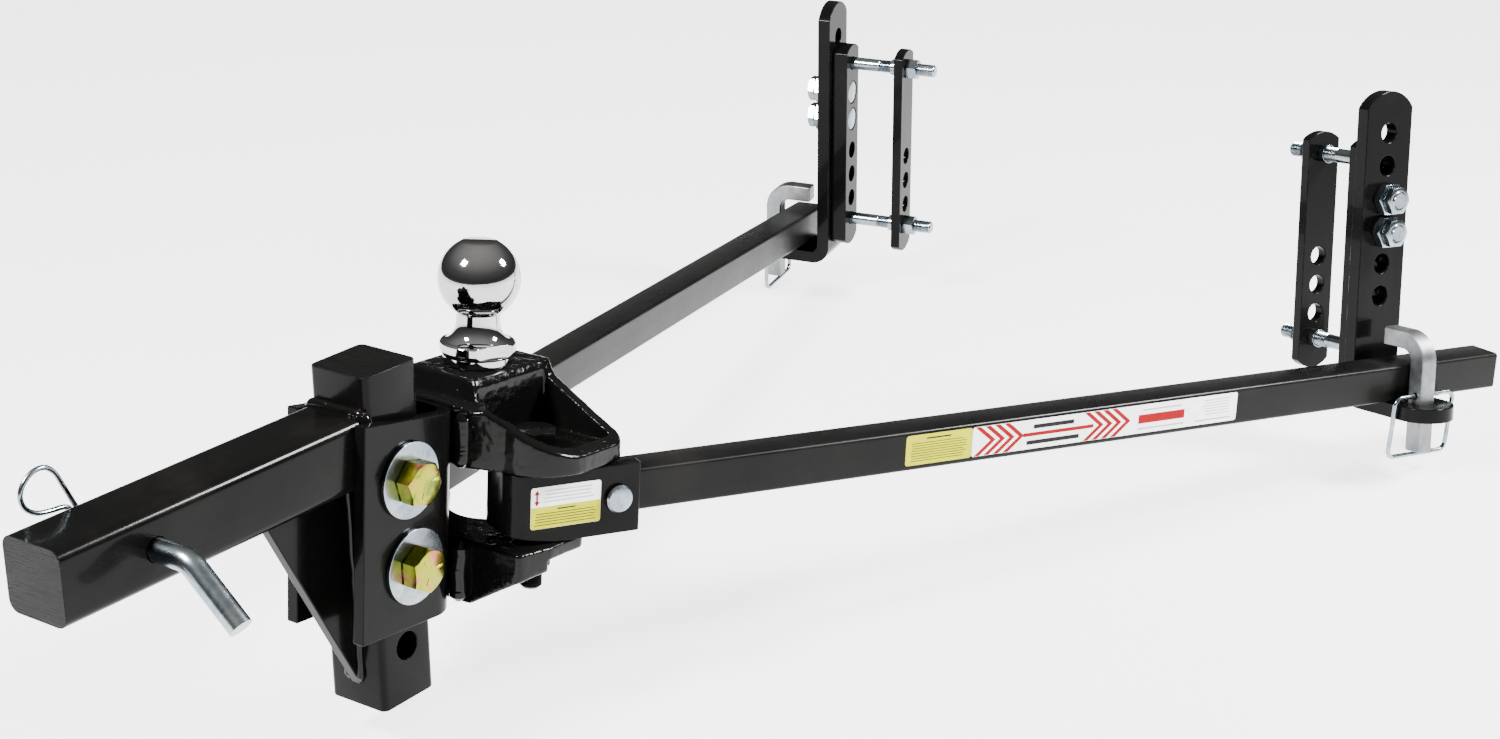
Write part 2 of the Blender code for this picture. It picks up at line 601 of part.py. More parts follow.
# ----------------------------------------------------------------- brackets
def build_bracket(side):
    origin, x, out, z = bracket_frame(side)
    s = 1 if side == "left" else -1
    place = frame(origin, x, z)
    ft = foot_top(side)
    group = empty(side + "_bracket_slide", place)

    def hole(o0, o1, u, h, r, n=24):
        return cyl((u, s * o0, h), (u, s * o1, h), r, n)

    # L bracket: leaf, bend and foot from one bent profile
    c = (FOOT_BEND, ft + FOOT_BEND)
    prof = [(-LEAF_T, ft + LEAF_CROWN + 5), (-LEAF_T, c[1])]
    prof += arc(c[0], c[1], FOOT_BEND + LEAF_T, 180, 270, 8)[1:]
    prof += [(FOOT_END + 5, ft - LEAF_T), (FOOT_END + 5, ft)]
    prof += arc(c[0], c[1], FOOT_BEND, 270, 180, 5)
    prof += [(0, ft + LEAF_CROWN + 5)]
    body = prism([(s * o, h) for o, h in prof], "x", -LEAF_HALF, LEAF_HALF)
    face = prism([(-LEAF_HALF - 1, ft - 20), (LEAF_HALF + 1, ft - 20), (LEAF_HALF + 1, ft + 100),
                  (LEAF_HALF + 0.001, ft + 100)] + crown(LEAF_HALF + 0.001, ft + LEAF_TOP, ft + LEAF_CROWN, 12)
                 + [(-LEAF_HALF - 0.001, ft + 100), (-LEAF_HALF - 1, ft + 100)], "y", -100, 100)
    rim = arc(0, 0, LEAF_HALF + 0.001, 0, 180, 14)
    foot = prism([(-LEAF_HALF - 0.001, -s * 20), (LEAF_HALF + 0.001, -s * 20)]
                 + [(p, s * (FOOT_END - LEAF_HALF + q)) for p, q in rim], "z", ft - 60, ft + LEAF_CROWN + 20)
    tools = [("INTERSECT", face), ("INTERSECT", foot)]
    tools += [("DIFFERENCE", hole(-20, 8, 0, ft + LEAF_HOLE_TOP - i * LEAF_PITCH, LEAF_HOLE_D / 2))
              for i in range(6)]
    sq = L_PIN / 2 + 0.6
    tools.append(("DIFFERENCE", prism(rect(-sq, sq, s * (L_PIN_POS - sq), s * (L_PIN_POS + sq)),
                                      "z", ft - 40, ft + 20)))
    node(side + "_l_bracket", carve(body, tools), "gloss_black", place, group)

    # frame links: straps either side of the trailer frame
    angle_z = [ft + LEAF_HOLE_TOP - i * LEAF_PITCH for i in (2, 3)]
    bolt_z = [ft + h for h in FRAME_BOLT_Z]
    strap = crown(LINK_HALF, ft + LINK_Z1 - LINK_TOP_ARCH, ft + LINK_Z1, 10)
    low = crown(LINK_HALF, -LINK_Z0 - LINK_LOW_ARCH, -LINK_Z0, 8)
    strap += [(-u, ft - h) for u, h in low]
    o1 = -LEAF_T - GAP
    o2 = o1 - INNER_T
    tools = [hole(o1 + 5, o2 - 5, 0, h, 8.3) for h in angle_z]
    tools += [hole(o2 - 5, o2 + 6.0, 0, h, 11.75, 28) for h in angle_z]
    tools += [hole(o1 + 5, o2 - 5, 0, h, FRAME_BOLT_D / 2 + 0.35) for h in bolt_z]
    tools += [hole(o1 + 5, o1 - 4.8, 0, h, 11.2, 28) for h in bolt_z]
    tools += [hole(o1 + 5, o2 - 5, 0, ft + h, 8.3) for h in LINK_HOLES]
    node(side + "_inner_link", minus(prism(strap, "y", s * o1, s * o2), *tools), "gloss_black", place, group)
    o3 = o2 - FRAME_GAP
    o4 = o3 - OUTER_T
    tools = [hole(o3 + 5, o4 - 5, 0, h, FRAME_BOLT_D / 2 + 0.35) for h in bolt_z]
    tools += [hole(o3 + 5, o4 - 5, 0, ft + h, 8.3) for h in LINK_HOLES]
    node(side + "_outer_link", minus(prism(strap, "y", s * o3, s * o4), *tools), "gloss_black", place, group)

    for tag, h in zip(("upper", "lower"), angle_z):
        r = ANGLE_BOLT_D / 2
        end = ANGLE_BOLT_END
        prof = [(0, o2 + 0.1), (11.25, o2 + 0.1), (11.25, o2 + 5.6), (r, o2 + 5.6), (r, end - 1.3), (r - 1.2, end),
                (0, end)]
        node(side + "_angle_bolt_" + tag, lathe(prof, 28, along((0, 0, h), (0, s, 0))), "zinc", place, group)
        rim = lathe([(0, 8.4), (10.6, 8.4), (10.6, 10.0), (0, 10.0)], 28, along((0, 0, h), (0, s, 0)))
        bm = carve(hexbar((0, s * GAP, h), (0, s * 8.8, h), 26.0, turn=NUT_TURN),
                   [("UNION", rim), ("UNION", hexbar((0, s * 9.6, h), (0, s * 16.6, h), 22.4, turn=NUT_TURN)),
                    ("DIFFERENCE", cyl((0, s * -5, h), (0, s * 40, h), r + 0.35, 24))])
        node(side + "_angle_nut_" + tag, bm, "zinc", place, group)

    for tag, h in zip(("upper", "lower"), reversed(bolt_z)):
        r = FRAME_BOLT_D / 2
        prof = [(0, o1 - 0.2), (10.6, o1 - 0.2), (10.6, o1 - 4.4), (r, o1 - 4.4), (r, FRAME_BOLT_END + 1.2),
                (r - 1.1, FRAME_BOLT_END), (0, FRAME_BOLT_END)]
        node(side + "_frame_bolt_" + tag, lathe(prof, 24, along((0, 0, h), (0, s, 0))), "zinc", place, group)
        nut = minus(hexbar((0, s * (o4 - GAP), h), (0, s * (o4 - GAP - 11.0), h), 19.0, turn=0.2),
                    cyl((0, s * (o4 + 5), h), (0, s * (o4 - 20), h), r + 0.35, 24))
        node(side + "_frame_nut_" + tag, nut, "zinc", place, group)
        ring = minus(cyl((0, s * (o3 + GAP), h), (0, s * (o3 + GAP + 7.0), h), 8.2, 24),
                     cyl((0, s * (o3 - 5), h), (0, s * (o3 + 20), h), r + 0.35, 24))
        node(side + "_bolt_collar_" + tag, ring, "zinc", place, group)

    # bent L-pin through the square hole of the foot, hooked over the arm
    half = L_PIN / 2
    cx, cz = L_PIN_POS - L_PIN_R, L_PIN_TOP - half - L_PIN_R
    prof = [(L_PIN_POS + half, L_PIN_LOW)] + arc(cx, cz, L_PIN_R + half, 0, 90, 10)
    prof += [(L_PIN_TIP, L_PIN_TOP), (L_PIN_TIP, L_PIN_TOP - L_PIN)]
    prof += arc(cx, cz, L_PIN_R - half, 90, 0, 7) + [(L_PIN_POS - half, L_PIN_LOW)]
    pivot_z = ft + BAIL_PIVOT
    leg = frame(origin + out * L_PIN_POS, x, z)
    lift = empty(side + "_l_pin_lift", leg, group)
    bm = minus(prism([(s * o, h) for o, h in prof], "x", -half, half),
               cyl((-20, s * L_PIN_POS, pivot_z), (20, s * L_PIN_POS, pivot_z), 2.45, 16))
    bm.transform(Matrix.Translation((0, -s * L_PIN_POS * MM, 0)))
    node(side + "_l_pin", bm, "galvanised", leg, lift)

    # wire safety bail hinged in the pin's leg, hanging plumb
    plumb = Vector((0, 0, 1)) - x * x.z
    pts = [(-1.2, 0, 0), (BAIL_U0, 0, 0), (BAIL_U0, 0, BAIL_DROP), (BAIL_U1, 0, BAIL_DROP), (BAIL_U1, 0, 0),
           (1.2, 0, 0)]
    node(side + "_wire_clip", wire(fillet(pts, 7.0, 5, closed=False), WIRE_D, 2), "zinc",
         frame(origin + out * L_PIN_POS + z * pivot_z, x, plumb), lift)


def main():
    clear_scene()
    build_shank()
    build_hitch_pin()
    build_head()
    build_castings()
    build_ball()
    for side in ("right", "left"):
        build_arm(side)
        build_bracket(side)


main()
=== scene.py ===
"""Looks of the weight distribution hitch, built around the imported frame.

Same frame as the CAD: origin at the centre of the shank's front end face,
+X rearwards, +Y towards the left spring arm, +Z up.  Driving dimensions are in
millimetres and are scaled to metres where the meshes are made.
"""
import json
import random
import bpy
import bmesh
from math import sin, cos, tan, radians, pi, sqrt, asin, atan2
from mathutils import Matrix, Vector, Quaternion, noise

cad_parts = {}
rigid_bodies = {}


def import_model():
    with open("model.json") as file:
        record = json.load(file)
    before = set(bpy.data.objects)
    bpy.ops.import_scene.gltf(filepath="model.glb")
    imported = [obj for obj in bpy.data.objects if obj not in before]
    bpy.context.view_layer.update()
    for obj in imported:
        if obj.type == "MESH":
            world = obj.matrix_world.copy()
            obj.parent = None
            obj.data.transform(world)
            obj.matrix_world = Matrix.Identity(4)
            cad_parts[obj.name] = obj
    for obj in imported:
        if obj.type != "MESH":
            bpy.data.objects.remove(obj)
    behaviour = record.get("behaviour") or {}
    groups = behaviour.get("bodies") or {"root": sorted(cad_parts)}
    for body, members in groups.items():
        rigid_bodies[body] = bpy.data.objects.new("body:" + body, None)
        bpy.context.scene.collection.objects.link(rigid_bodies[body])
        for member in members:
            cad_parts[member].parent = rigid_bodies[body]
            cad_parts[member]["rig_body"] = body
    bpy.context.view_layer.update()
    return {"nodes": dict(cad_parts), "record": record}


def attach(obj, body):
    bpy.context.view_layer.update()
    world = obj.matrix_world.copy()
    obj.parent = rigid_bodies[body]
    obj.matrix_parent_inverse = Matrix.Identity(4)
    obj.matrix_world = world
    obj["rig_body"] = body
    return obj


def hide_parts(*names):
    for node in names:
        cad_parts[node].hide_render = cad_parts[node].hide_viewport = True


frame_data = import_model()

MM = 0.001
random.seed(7)
BODY_OF = {n: o["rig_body"] for n, o in frame_data["nodes"].items()}
SLOT_OF = {r["node"]: r["material_slot"] for r in frame_data["record"].get("subparts", []) if "material_slot" in r}

# ---------------------------------------------------------------- dimensions
GAP = 0.3                      # clearance left between touching pieces
FACETS = 1.5                   # facet count on round pieces, against the base count

# shank and drop bar
BAR = 50.8                     # square bar of the shank and of the drop bar
SHANK_LEN = 257.1
SHANK_CORNER = 8.0
PIN_X = 72.4                   # hitch pin hole from the front end
PIN_HOLE_D = 16.5
DROP_X0, DROP_X1 = 257.4, 308.2
DROP_TOP, DROP_BOTTOM = 51.3, -195.2
DROP_CORNER = 5.0
DROP_HOLE_D = 20.2
DROP_HOLE_X = 282.8
DROP_HOLE_Z = (-26.3, -58.05, -89.8, -121.55, -153.3)
GUSSET_T = 9.0

# hitch pin and its spring clip
HITCH_PIN_D = 15.9
PIN_TIP_Y, PIN_BEND_Y = 46.0, -53.0
PIN_HANDLE_ANGLE = 40.0
PIN_HANDLE_LEN = 52.2
PIN_BEND_R = 18.0
CLIP_Y = 36.0
CLIP_D = 3.5
CLIP_HOLE_D = 4.3

# head
HEAD_TILT = 5.6                # degrees the head leans back on the drop bar
HEAD_ORIGIN = (282.8, 0.0, -89.8)
PLATE = 9.5
CHAN_IN, CHAN_OUT = 25.9, 35.4
CHAN_FRONT, CHAN_WEB_IN, CHAN_WEB_OUT = -48.4, 42.5, 52.0
CHAN_Z0, CHAN_Z1, CHAN_Z2 = -45.0, 109.3, 99.3
CHAN_BEND_IN = 17.0
HEAD_BOLT_D = 19.05
HEAD_BOLT_HOLE = 20.6
HEAD_BOLTS = ((0.0, 0.0), (-6.2, 63.2))    # (xh, zh) of the two cross bolts
WASHER_OD, WASHER_ID, WASHER_T = 54.0, 20.3, 3.0

CAST_Z0 = 56.6                 # underside of the upper casting
PLATFORM_Z, PLATFORM_T, PLATFORM_HALF = 116.0, 20.0, 30.0
CAST_REAR = 148.0
PIVOT_X, PIVOT_Y = 96.4, 60.1
EAR_X, EAR_Y, EAR_R = 101.6, 62.0, 39.5
POCKET_FLOOR = 68.0
JAW_TOP, JAW_EAR_R, JAW_HALF = 4.6, 31.0, 85.5

BALL_X = 103.5
BALL_R, BALL_Z = 29.37, 177.2
BALL_NECK_R, BALL_COLLAR_R = 15.5, 27.0
BALL_SHANK_D = 31.75

# spring arms and their sockets
ARM = 31.75
ARM_START, ARM_END = 19.6, 939.6
ARM_Z = 31.5                   # arm centreline height in the head frame
SOCKET_FRONT, SOCKET_REAR = -29.4, 71.6
SLOT_START = 18.6
SOCKET_HALF = 26.2
SOCKET_SLOT = 33.35
SOCKET_Z0, SOCKET_Z1 = 5.0, 56.0
SOCKET_PIN_T = 53.6
SOCKET_PIN_D = 15.9
ARM_YAW = {"right": -24.7, "left": 15.0}      # in the head plane, degrees

# frame brackets: station along the arm, yaw, pitch and roll of the bracket,
# and how far the arm's centreline stands off the leaf
BRACKET = {"right": dict(t=839.0, yaw=25.34, pitch=-4.67, roll=-7.12, off=30.6),
           "left": dict(t=905.0, yaw=12.70, pitch=2.18, roll=-0.76, off=29.0)}
LEAF_T, LEAF_HALF = 12.7, 26.0
LEAF_TOP, LEAF_CROWN = 250.0, 264.4           # above the top of the foot
LEAF_HOLE_TOP, LEAF_PITCH, LEAF_HOLE_D = 228.4, 28.7, 17.5
FOOT_END = 85.0
FOOT_BEND = 6.0
LINK_HALF = 17.7
INNER_T, OUTER_T = 15.9, 9.5
LINK_Z0, LINK_Z1 = 6.1, 221.5                 # above the top of the foot
LINK_TOP_ARCH, LINK_LOW_ARCH = 6.5, 8.0
FRAME_BOLT_Z = (34.0, 202.0)
LINK_HOLES = (109.0, 82.9, 56.7)
FRAME_GAP = 50.0
FRAME_BOLT_D = 12.7
FRAME_BOLT_END = -118.0
ANGLE_BOLT_D = 15.9
NUT_TURN = pi / 6                              # flats of the angle nuts face each other
ANGLE_BOLT_END = 18.2
L_PIN = 15.9                                  # square bar
L_PIN_POS = 56.3                              # leg centre from the leaf
L_PIN_R = 18.0
L_PIN_TOP, L_PIN_LOW, L_PIN_TIP = 43.5, -60.5, 15.5
WIRE_D = 4.0
BAIL_PIVOT = 6.4                              # above the top of the foot
BAIL_U0, BAIL_U1, BAIL_DROP = -29.4, 38.0, -54.0


def fillet(pts, radius, seg=5, closed=True):
    """Corners of a polyline turned into arcs; radius is one value or a list."""
    p = [Vector(q) if len(q) == 3 else Vector((q[0], q[1], 0.0)) for q in pts]
    flat = len(pts[0]) == 2
    out, n = [], len(p)
    for i in range(n):
        r = radius[i] if isinstance(radius, (list, tuple)) else radius
        if r <= 0 or (not closed and i in (0, n - 1)):
            out.append(p[i])
            continue
        a = (p[i - 1] - p[i]).normalized()
        b = (p[(i + 1) % n] - p[i]).normalized()
        half = a.angle(b) / 2
        c = p[i] + (a + b).normalized() * (r / sin(half))
        v0 = p[i] + a * (r / tan(half)) - c
        v1 = p[i] + b * (r / tan(half)) - c
        axis, ang = v0.cross(v1).normalized(), v0.angle(v1)
        for k in range(seg + 1):
            out.append(c + Quaternion(axis, ang * k / seg) @ v0)
    return [(v.x, v.y) for v in out] if flat else [tuple(v) for v in out]


def rect(a0, a1, b0, b1):
    return [(a0, b0), (a1, b0), (a1, b1), (a0, b1)]


def arc(cx, cy, r, a0, a1, seg):
    """Points of an arc, angles in degrees."""
    return [(cx + r * cos(radians(a0 + (a1 - a0) * k / seg)),
             cy + r * sin(radians(a0 + (a1 - a0) * k / seg))) for k in range(seg + 1)]


def crown(half, side_z, top_z, seg=10):
    """Arched top of a strap, from +half to -half."""
    rise = top_z - side_z
    r = (half * half + rise * rise) / (2 * rise)
    a = asin(half / r)
    return [(r * sin(a - 2 * a * k / seg), top_z - r + r * cos(a - 2 * a * k / seg))
            for k in range(seg + 1)]


def prism(pts, axis, lo, hi):
    """Closed outline extruded along x, y or z (bmesh extrude)."""
    lo, hi = min(lo, hi), max(lo, hi)

    def at(a, b, h):
        return Vector({"x": (h, a, b), "y": (a, h, b), "z": (a, b, h)}[axis]) * MM

    bm = bmesh.new()
    face = bm.faces.new([bm.verts.new(at(a, b, lo)) for a, b in pts])
    grown = bmesh.ops.extrude_face_region(bm, geom=[face])
    top = [g for g in grown["geom"] if isinstance(g, bmesh.types.BMVert)]
    bmesh.ops.translate(bm, vec=at(0, 0, hi - lo), verts=top)
    bmesh.ops.recalc_face_normals(bm, faces=bm.faces)
    return bm


def sides(n):
    """Facets of a round piece: n on a display model, fewer on this one."""
    return n if n <= 8 else max(12, 2 * round(n * FACETS / 2))


def cyl(a, b, r, n=24, r2=None, turn=0.0):
    """Cylinder or cone between two points."""
    n = sides(n)
    a, b = Vector(a) * MM, Vector(b) * MM
    d = b - a
    m = (Matrix.Translation((a + b) / 2) @ d.to_track_quat("Z", "Y").to_matrix().to_4x4()
         @ Matrix.Rotation(turn, 4, "Z"))
    bm = bmesh.new()
    bmesh.ops.create_cone(bm, cap_ends=True, cap_tris=False, segments=n, radius1=r * MM,
                          radius2=(r if r2 is None else r2) * MM, depth=d.length, matrix=m)
    bmesh.ops.recalc_face_normals(bm, faces=bm.faces)
    return bm


def hexbar(a, b, across, turn=0.0):
    return cyl(a, b, across / sqrt(3), n=6, turn=turn)


def lathe(profile, n, place=None):
    """Profile of (radius, height) turned about z (bmesh spin), then placed."""
    n = sides(n)
    bm = bmesh.new()
    vs = [bm.verts.new((r * MM, 0, h * MM)) for r, h in profile]
    es = [bm.edges.new((vs[i], vs[i + 1])) for i in range(len(vs) - 1)]
    bmesh.ops.spin(bm, geom=vs + es, cent=(0, 0, 0), axis=(0, 0, 1), dvec=(0, 0, 0),
                   angle=2 * pi, steps=n, use_merge=True, use_duplicate=False)
    bmesh.ops.remove_doubles(bm, verts=bm.verts, dist=1e-6)
    if place is not None:
        bm.transform(place)
    bmesh.ops.recalc_face_normals(bm, faces=bm.faces)
    return bm


def along(point, direction):
    """Matrix that puts a lathe's z axis on a line (millimetres)."""
    return (Matrix.Translation(Vector(point) * MM)
            @ Vector(direction).to_track_quat("Z", "Y").to_matrix().to_4x4())


def to_temp(bm):
    me = bpy.data.meshes.new("tmp")
    bm.to_mesh(me)
    bm.free()
    ob = bpy.data.objects.new("tmp", me)
    bpy.context.scene.collection.objects.link(ob)
    return ob


def evaluated(ob):
    bpy.context.view_layer.update()
    dg = bpy.context.evaluated_depsgraph_get()
    me = bpy.data.meshes.new_from_object(ob.evaluated_get(dg))
    bm = bmesh.new()
    bm.from_mesh(me)
    bpy.data.meshes.remove(me)
    return bm


def carve(base, tools):
    """Boolean steps (operation, bmesh) on a base, EXACT solver."""
    ob = to_temp(base)
    cutters = []
    for op, t in tools:
        c = to_temp(t)
        c.hide_render = True
        c.display_type = "WIRE"
        m = ob.modifiers.new("cut", "BOOLEAN")
        m.operation, m.object, m.solver = op, c, "EXACT"
        cutters.append(c)
    bm = evaluated(ob)
    for o in [ob] + cutters:
        me = o.data
        bpy.data.objects.remove(o, do_unlink=True)
        bpy.data.meshes.remove(me)
    bmesh.ops.remove_doubles(bm, verts=bm.verts, dist=1e-7)
    bmesh.ops.dissolve_degenerate(bm, dist=1e-7, edges=bm.edges)
    return bm


def minus(base, *tools):
    return carve(base, [("DIFFERENCE", t) for t in tools])


def common(base, *tools):
    return carve(base, [("INTERSECT", t) for t in tools])


def wire(pts, d, res=2):
    """Round wire along points: a curve with a bevel and filled caps."""
    cu = bpy.data.curves.new("wire", "CURVE")
    cu.dimensions = "3D"
    sp = cu.splines.new("POLY")
    sp.points.add(len(pts) - 1)
    for q, p in zip(sp.points, pts):
        q.co = (p[0] * MM, p[1] * MM, p[2] * MM, 1.0)
    cu.bevel_depth = d / 2 * MM
    cu.bevel_resolution = res
    cu.use_fill_caps = True
    ob = bpy.data.objects.new("wire", cu)
    bpy.context.scene.collection.objects.link(ob)
    bm = evaluated(ob)
    bpy.data.objects.remove(ob, do_unlink=True)
    bpy.data.curves.remove(cu)
    bmesh.ops.remove_doubles(bm, verts=bm.verts, dist=1e-6)
    bmesh.ops.recalc_face_normals(bm, faces=bm.faces)
    return bm


def smooth_path(pts, per=4):
    """Catmull-Rom curve through planar points."""
    out = []
    n = len(pts)
    for i in range(n - 1):
        p0, p1, p2, p3 = pts[max(i - 1, 0)], pts[i], pts[i + 1], pts[min(i + 2, n - 1)]
        for k in range(per):
            t = k / per
            out.append(tuple(0.5 * (2 * b + (c - a) * t + (2 * a - 5 * b + 4 * c - d) * t * t
                                    + (3 * b - a - 3 * c + d) * t ** 3)
                             for a, b, c, d in zip(p0, p1, p2, p3)))
    out.append(tuple(pts[-1]))
    return out


def frame(origin, x, z):
    """World matrix from an origin in millimetres and two axes."""
    x, z = Vector(x).normalized(), Vector(z).normalized()
    y = z.cross(x)
    o = Vector(origin) * MM
    return Matrix(((x.x, y.x, z.x, o.x), (x.y, y.y, z.y, o.y), (x.z, y.z, z.z, o.z), (0, 0, 0, 1)))


# ------------------------------------------------------------ surface helpers
def thread(r, a, b, pitch):
    """Zigzag profile of a rolled thread between two heights of a lathe."""
    n = max(2, int(round(abs(b - a) / pitch)))
    step = (b - a) / n
    out = [(r - 0.58 * pitch, a)]
    for k in range(n):
        h = a + step * k
        out += [(r, h + step * 0.40), (r, h + step * 0.58), (r - 0.58 * pitch, h + step)]
    return out


def cone_trim(a, b, across, ends):
    """Body of revolution that chamfers a hexagon's corners at the chosen ends."""
    a, b = Vector(a), Vector(b)
    d = (b - a).length
    rc, ri = across / sqrt(3) + 0.6, across / 2 - 0.25
    drop = (rc - ri) * 0.52
    prof = [(0, 0)]
    prof += [(ri, 0), (rc, drop)] if ends[0] else [(rc, 0)]
    prof += [(rc, d - drop), (ri, d)] if ends[1] else [(rc, d)]
    prof += [(0, d)]
    return lathe(prof, 32, along(a, (b - a).normalized()))


def hexhead(a, b, across, turn=0.0, base=0.7):
    """Bolt head from its bearing face a to its top b: washer face, hexagon, chamfer, grade marks."""
    a, b = Vector(a), Vector(b)
    u = (b - a).normalized()
    body = common(hexbar(a + u * base, b, across, turn=turn), cone_trim(a + u * base, b, across, (False, True)))
    tools = [("UNION", cyl(a, a + u * (base + 0.01), across / 2 - 0.3, 36))]
    side = u.orthogonal().normalized()
    other = u.cross(side)
    for k in range(3):
        t = radians(120 * k + 25)
        v = side * cos(t) + other * sin(t)
        w = u.cross(v)
        p, q = b + v * (across * 0.19), b + v * (across * 0.36)
        bm = bmesh.new()
        vs = []
        for h in (-0.35, 0.28):
            for c in (p - w * 0.45, q - w * 0.45, q + w * 0.45, p + w * 0.45):
                vs.append(bm.verts.new((c + u * h) * MM))
        for f in ((3, 2, 1, 0), (4, 5, 6, 7), (0, 1, 5, 4), (1, 2, 6, 5), (2, 3, 7, 6), (3, 0, 4, 7)):
            bm.faces.new([vs[i] for i in f])
        bmesh.ops.recalc_face_normals(bm, faces=bm.faces)
        tools.append(("UNION", bm))
    return carve(body, tools)


def hexnut(a, b, across, turn=0.0):
    return common(hexbar(a, b, across, turn=turn), cone_trim(a, b, across, (True, True)))


# ------------------------------------------------------------------ materials
def nodes_of(name):
    m = bpy.data.materials.new(name)
    m.use_nodes = True
    nt = m.node_tree
    return m, nt, nt.nodes["Principled BSDF"]


def add(nt, kind, **values):
    n = nt.nodes.new(kind)
    for k, v in values.items():
        if k in n.inputs:
            n.inputs[k].default_value = v
        else:
            setattr(n, k, v)
    return n


def noise_tex(nt, coord, scale, detail=4.0, rough=0.55, distort=0.0, stretch=None):
    """Noise over the piece's own coordinates; scale counts features per metre."""
    src = coord.outputs["Object"]
    if stretch:
        m = add(nt, "ShaderNodeMapping")
        m.inputs["Scale"].default_value = stretch
        nt.links.new(src, m.inputs["Vector"])
        src = m.outputs["Vector"]
    n = nt.nodes.new("ShaderNodeTexNoise")
    n.inputs["Scale"].default_value = scale
    n.inputs["Detail"].default_value = detail
    n.inputs["Roughness"].default_value = rough
    n.inputs["Distortion"].default_value = distort
    nt.links.new(src, n.inputs["Vector"])
    return n


def ramp(nt, source, stops):
    r = nt.nodes.new("ShaderNodeValToRGB")
    e = r.color_ramp.elements
    while len(e) < len(stops):
        e.new(0.5)
    for el, (p, c) in zip(e, stops):
        el.position = p
        el.color = (*c, 1.0) if len(c) == 3 else c
    nt.links.new(source, r.inputs["Fac"])
    return r


def grey(v):
    return (v, v, v)


def mapped(nt, source, lo, hi, a=0.0, b=1.0):
    m = nt.nodes.new("ShaderNodeMapRange")
    m.inputs["From Min"].default_value, m.inputs["From Max"].default_value = a, b
    m.inputs["To Min"].default_value, m.inputs["To Max"].default_value = lo, hi
    nt.links.new(source, m.inputs["Value"])
    return m


def maths(nt, op, x, y=None):
    m = nt.nodes.new("ShaderNodeMath")
    m.operation = op
    for i, v in enumerate((x, y)):
        if v is None:
            continue
        if isinstance(v, (int, float)):
            m.inputs[i].default_value = v
        else:
            nt.links.new(v, m.inputs[i])
    return m


def bump(nt, height, distance, strength=1.0, under=None):
    b = nt.nodes.new("ShaderNodeBump")
    b.inputs["Strength"].default_value = strength
    b.inputs["Distance"].default_value = distance
    nt.links.new(height, b.inputs["Height"])
    if under is not None:
        nt.links.new(under.outputs["Normal"], b.inputs["Normal"])
    return b


def edge_mask(nt, radius=0.0012):
    """Near 1 along convex and concave edges, 0 on flats."""
    bev = nt.nodes.new("ShaderNodeBevel")
    bev.samples = 4
    bev.inputs["Radius"].default_value = radius
    geo = nt.nodes.new("ShaderNodeNewGeometry")
    dot = nt.nodes.new("ShaderNodeVectorMath")
    dot.operation = "DOT_PRODUCT"
    nt.links.new(bev.outputs["Normal"], dot.inputs[0])
    nt.links.new(geo.outputs["Normal"], dot.inputs[1])
    return mapped(nt, dot.outputs["Value"], 1.0, 0.0, 0.90, 0.995)


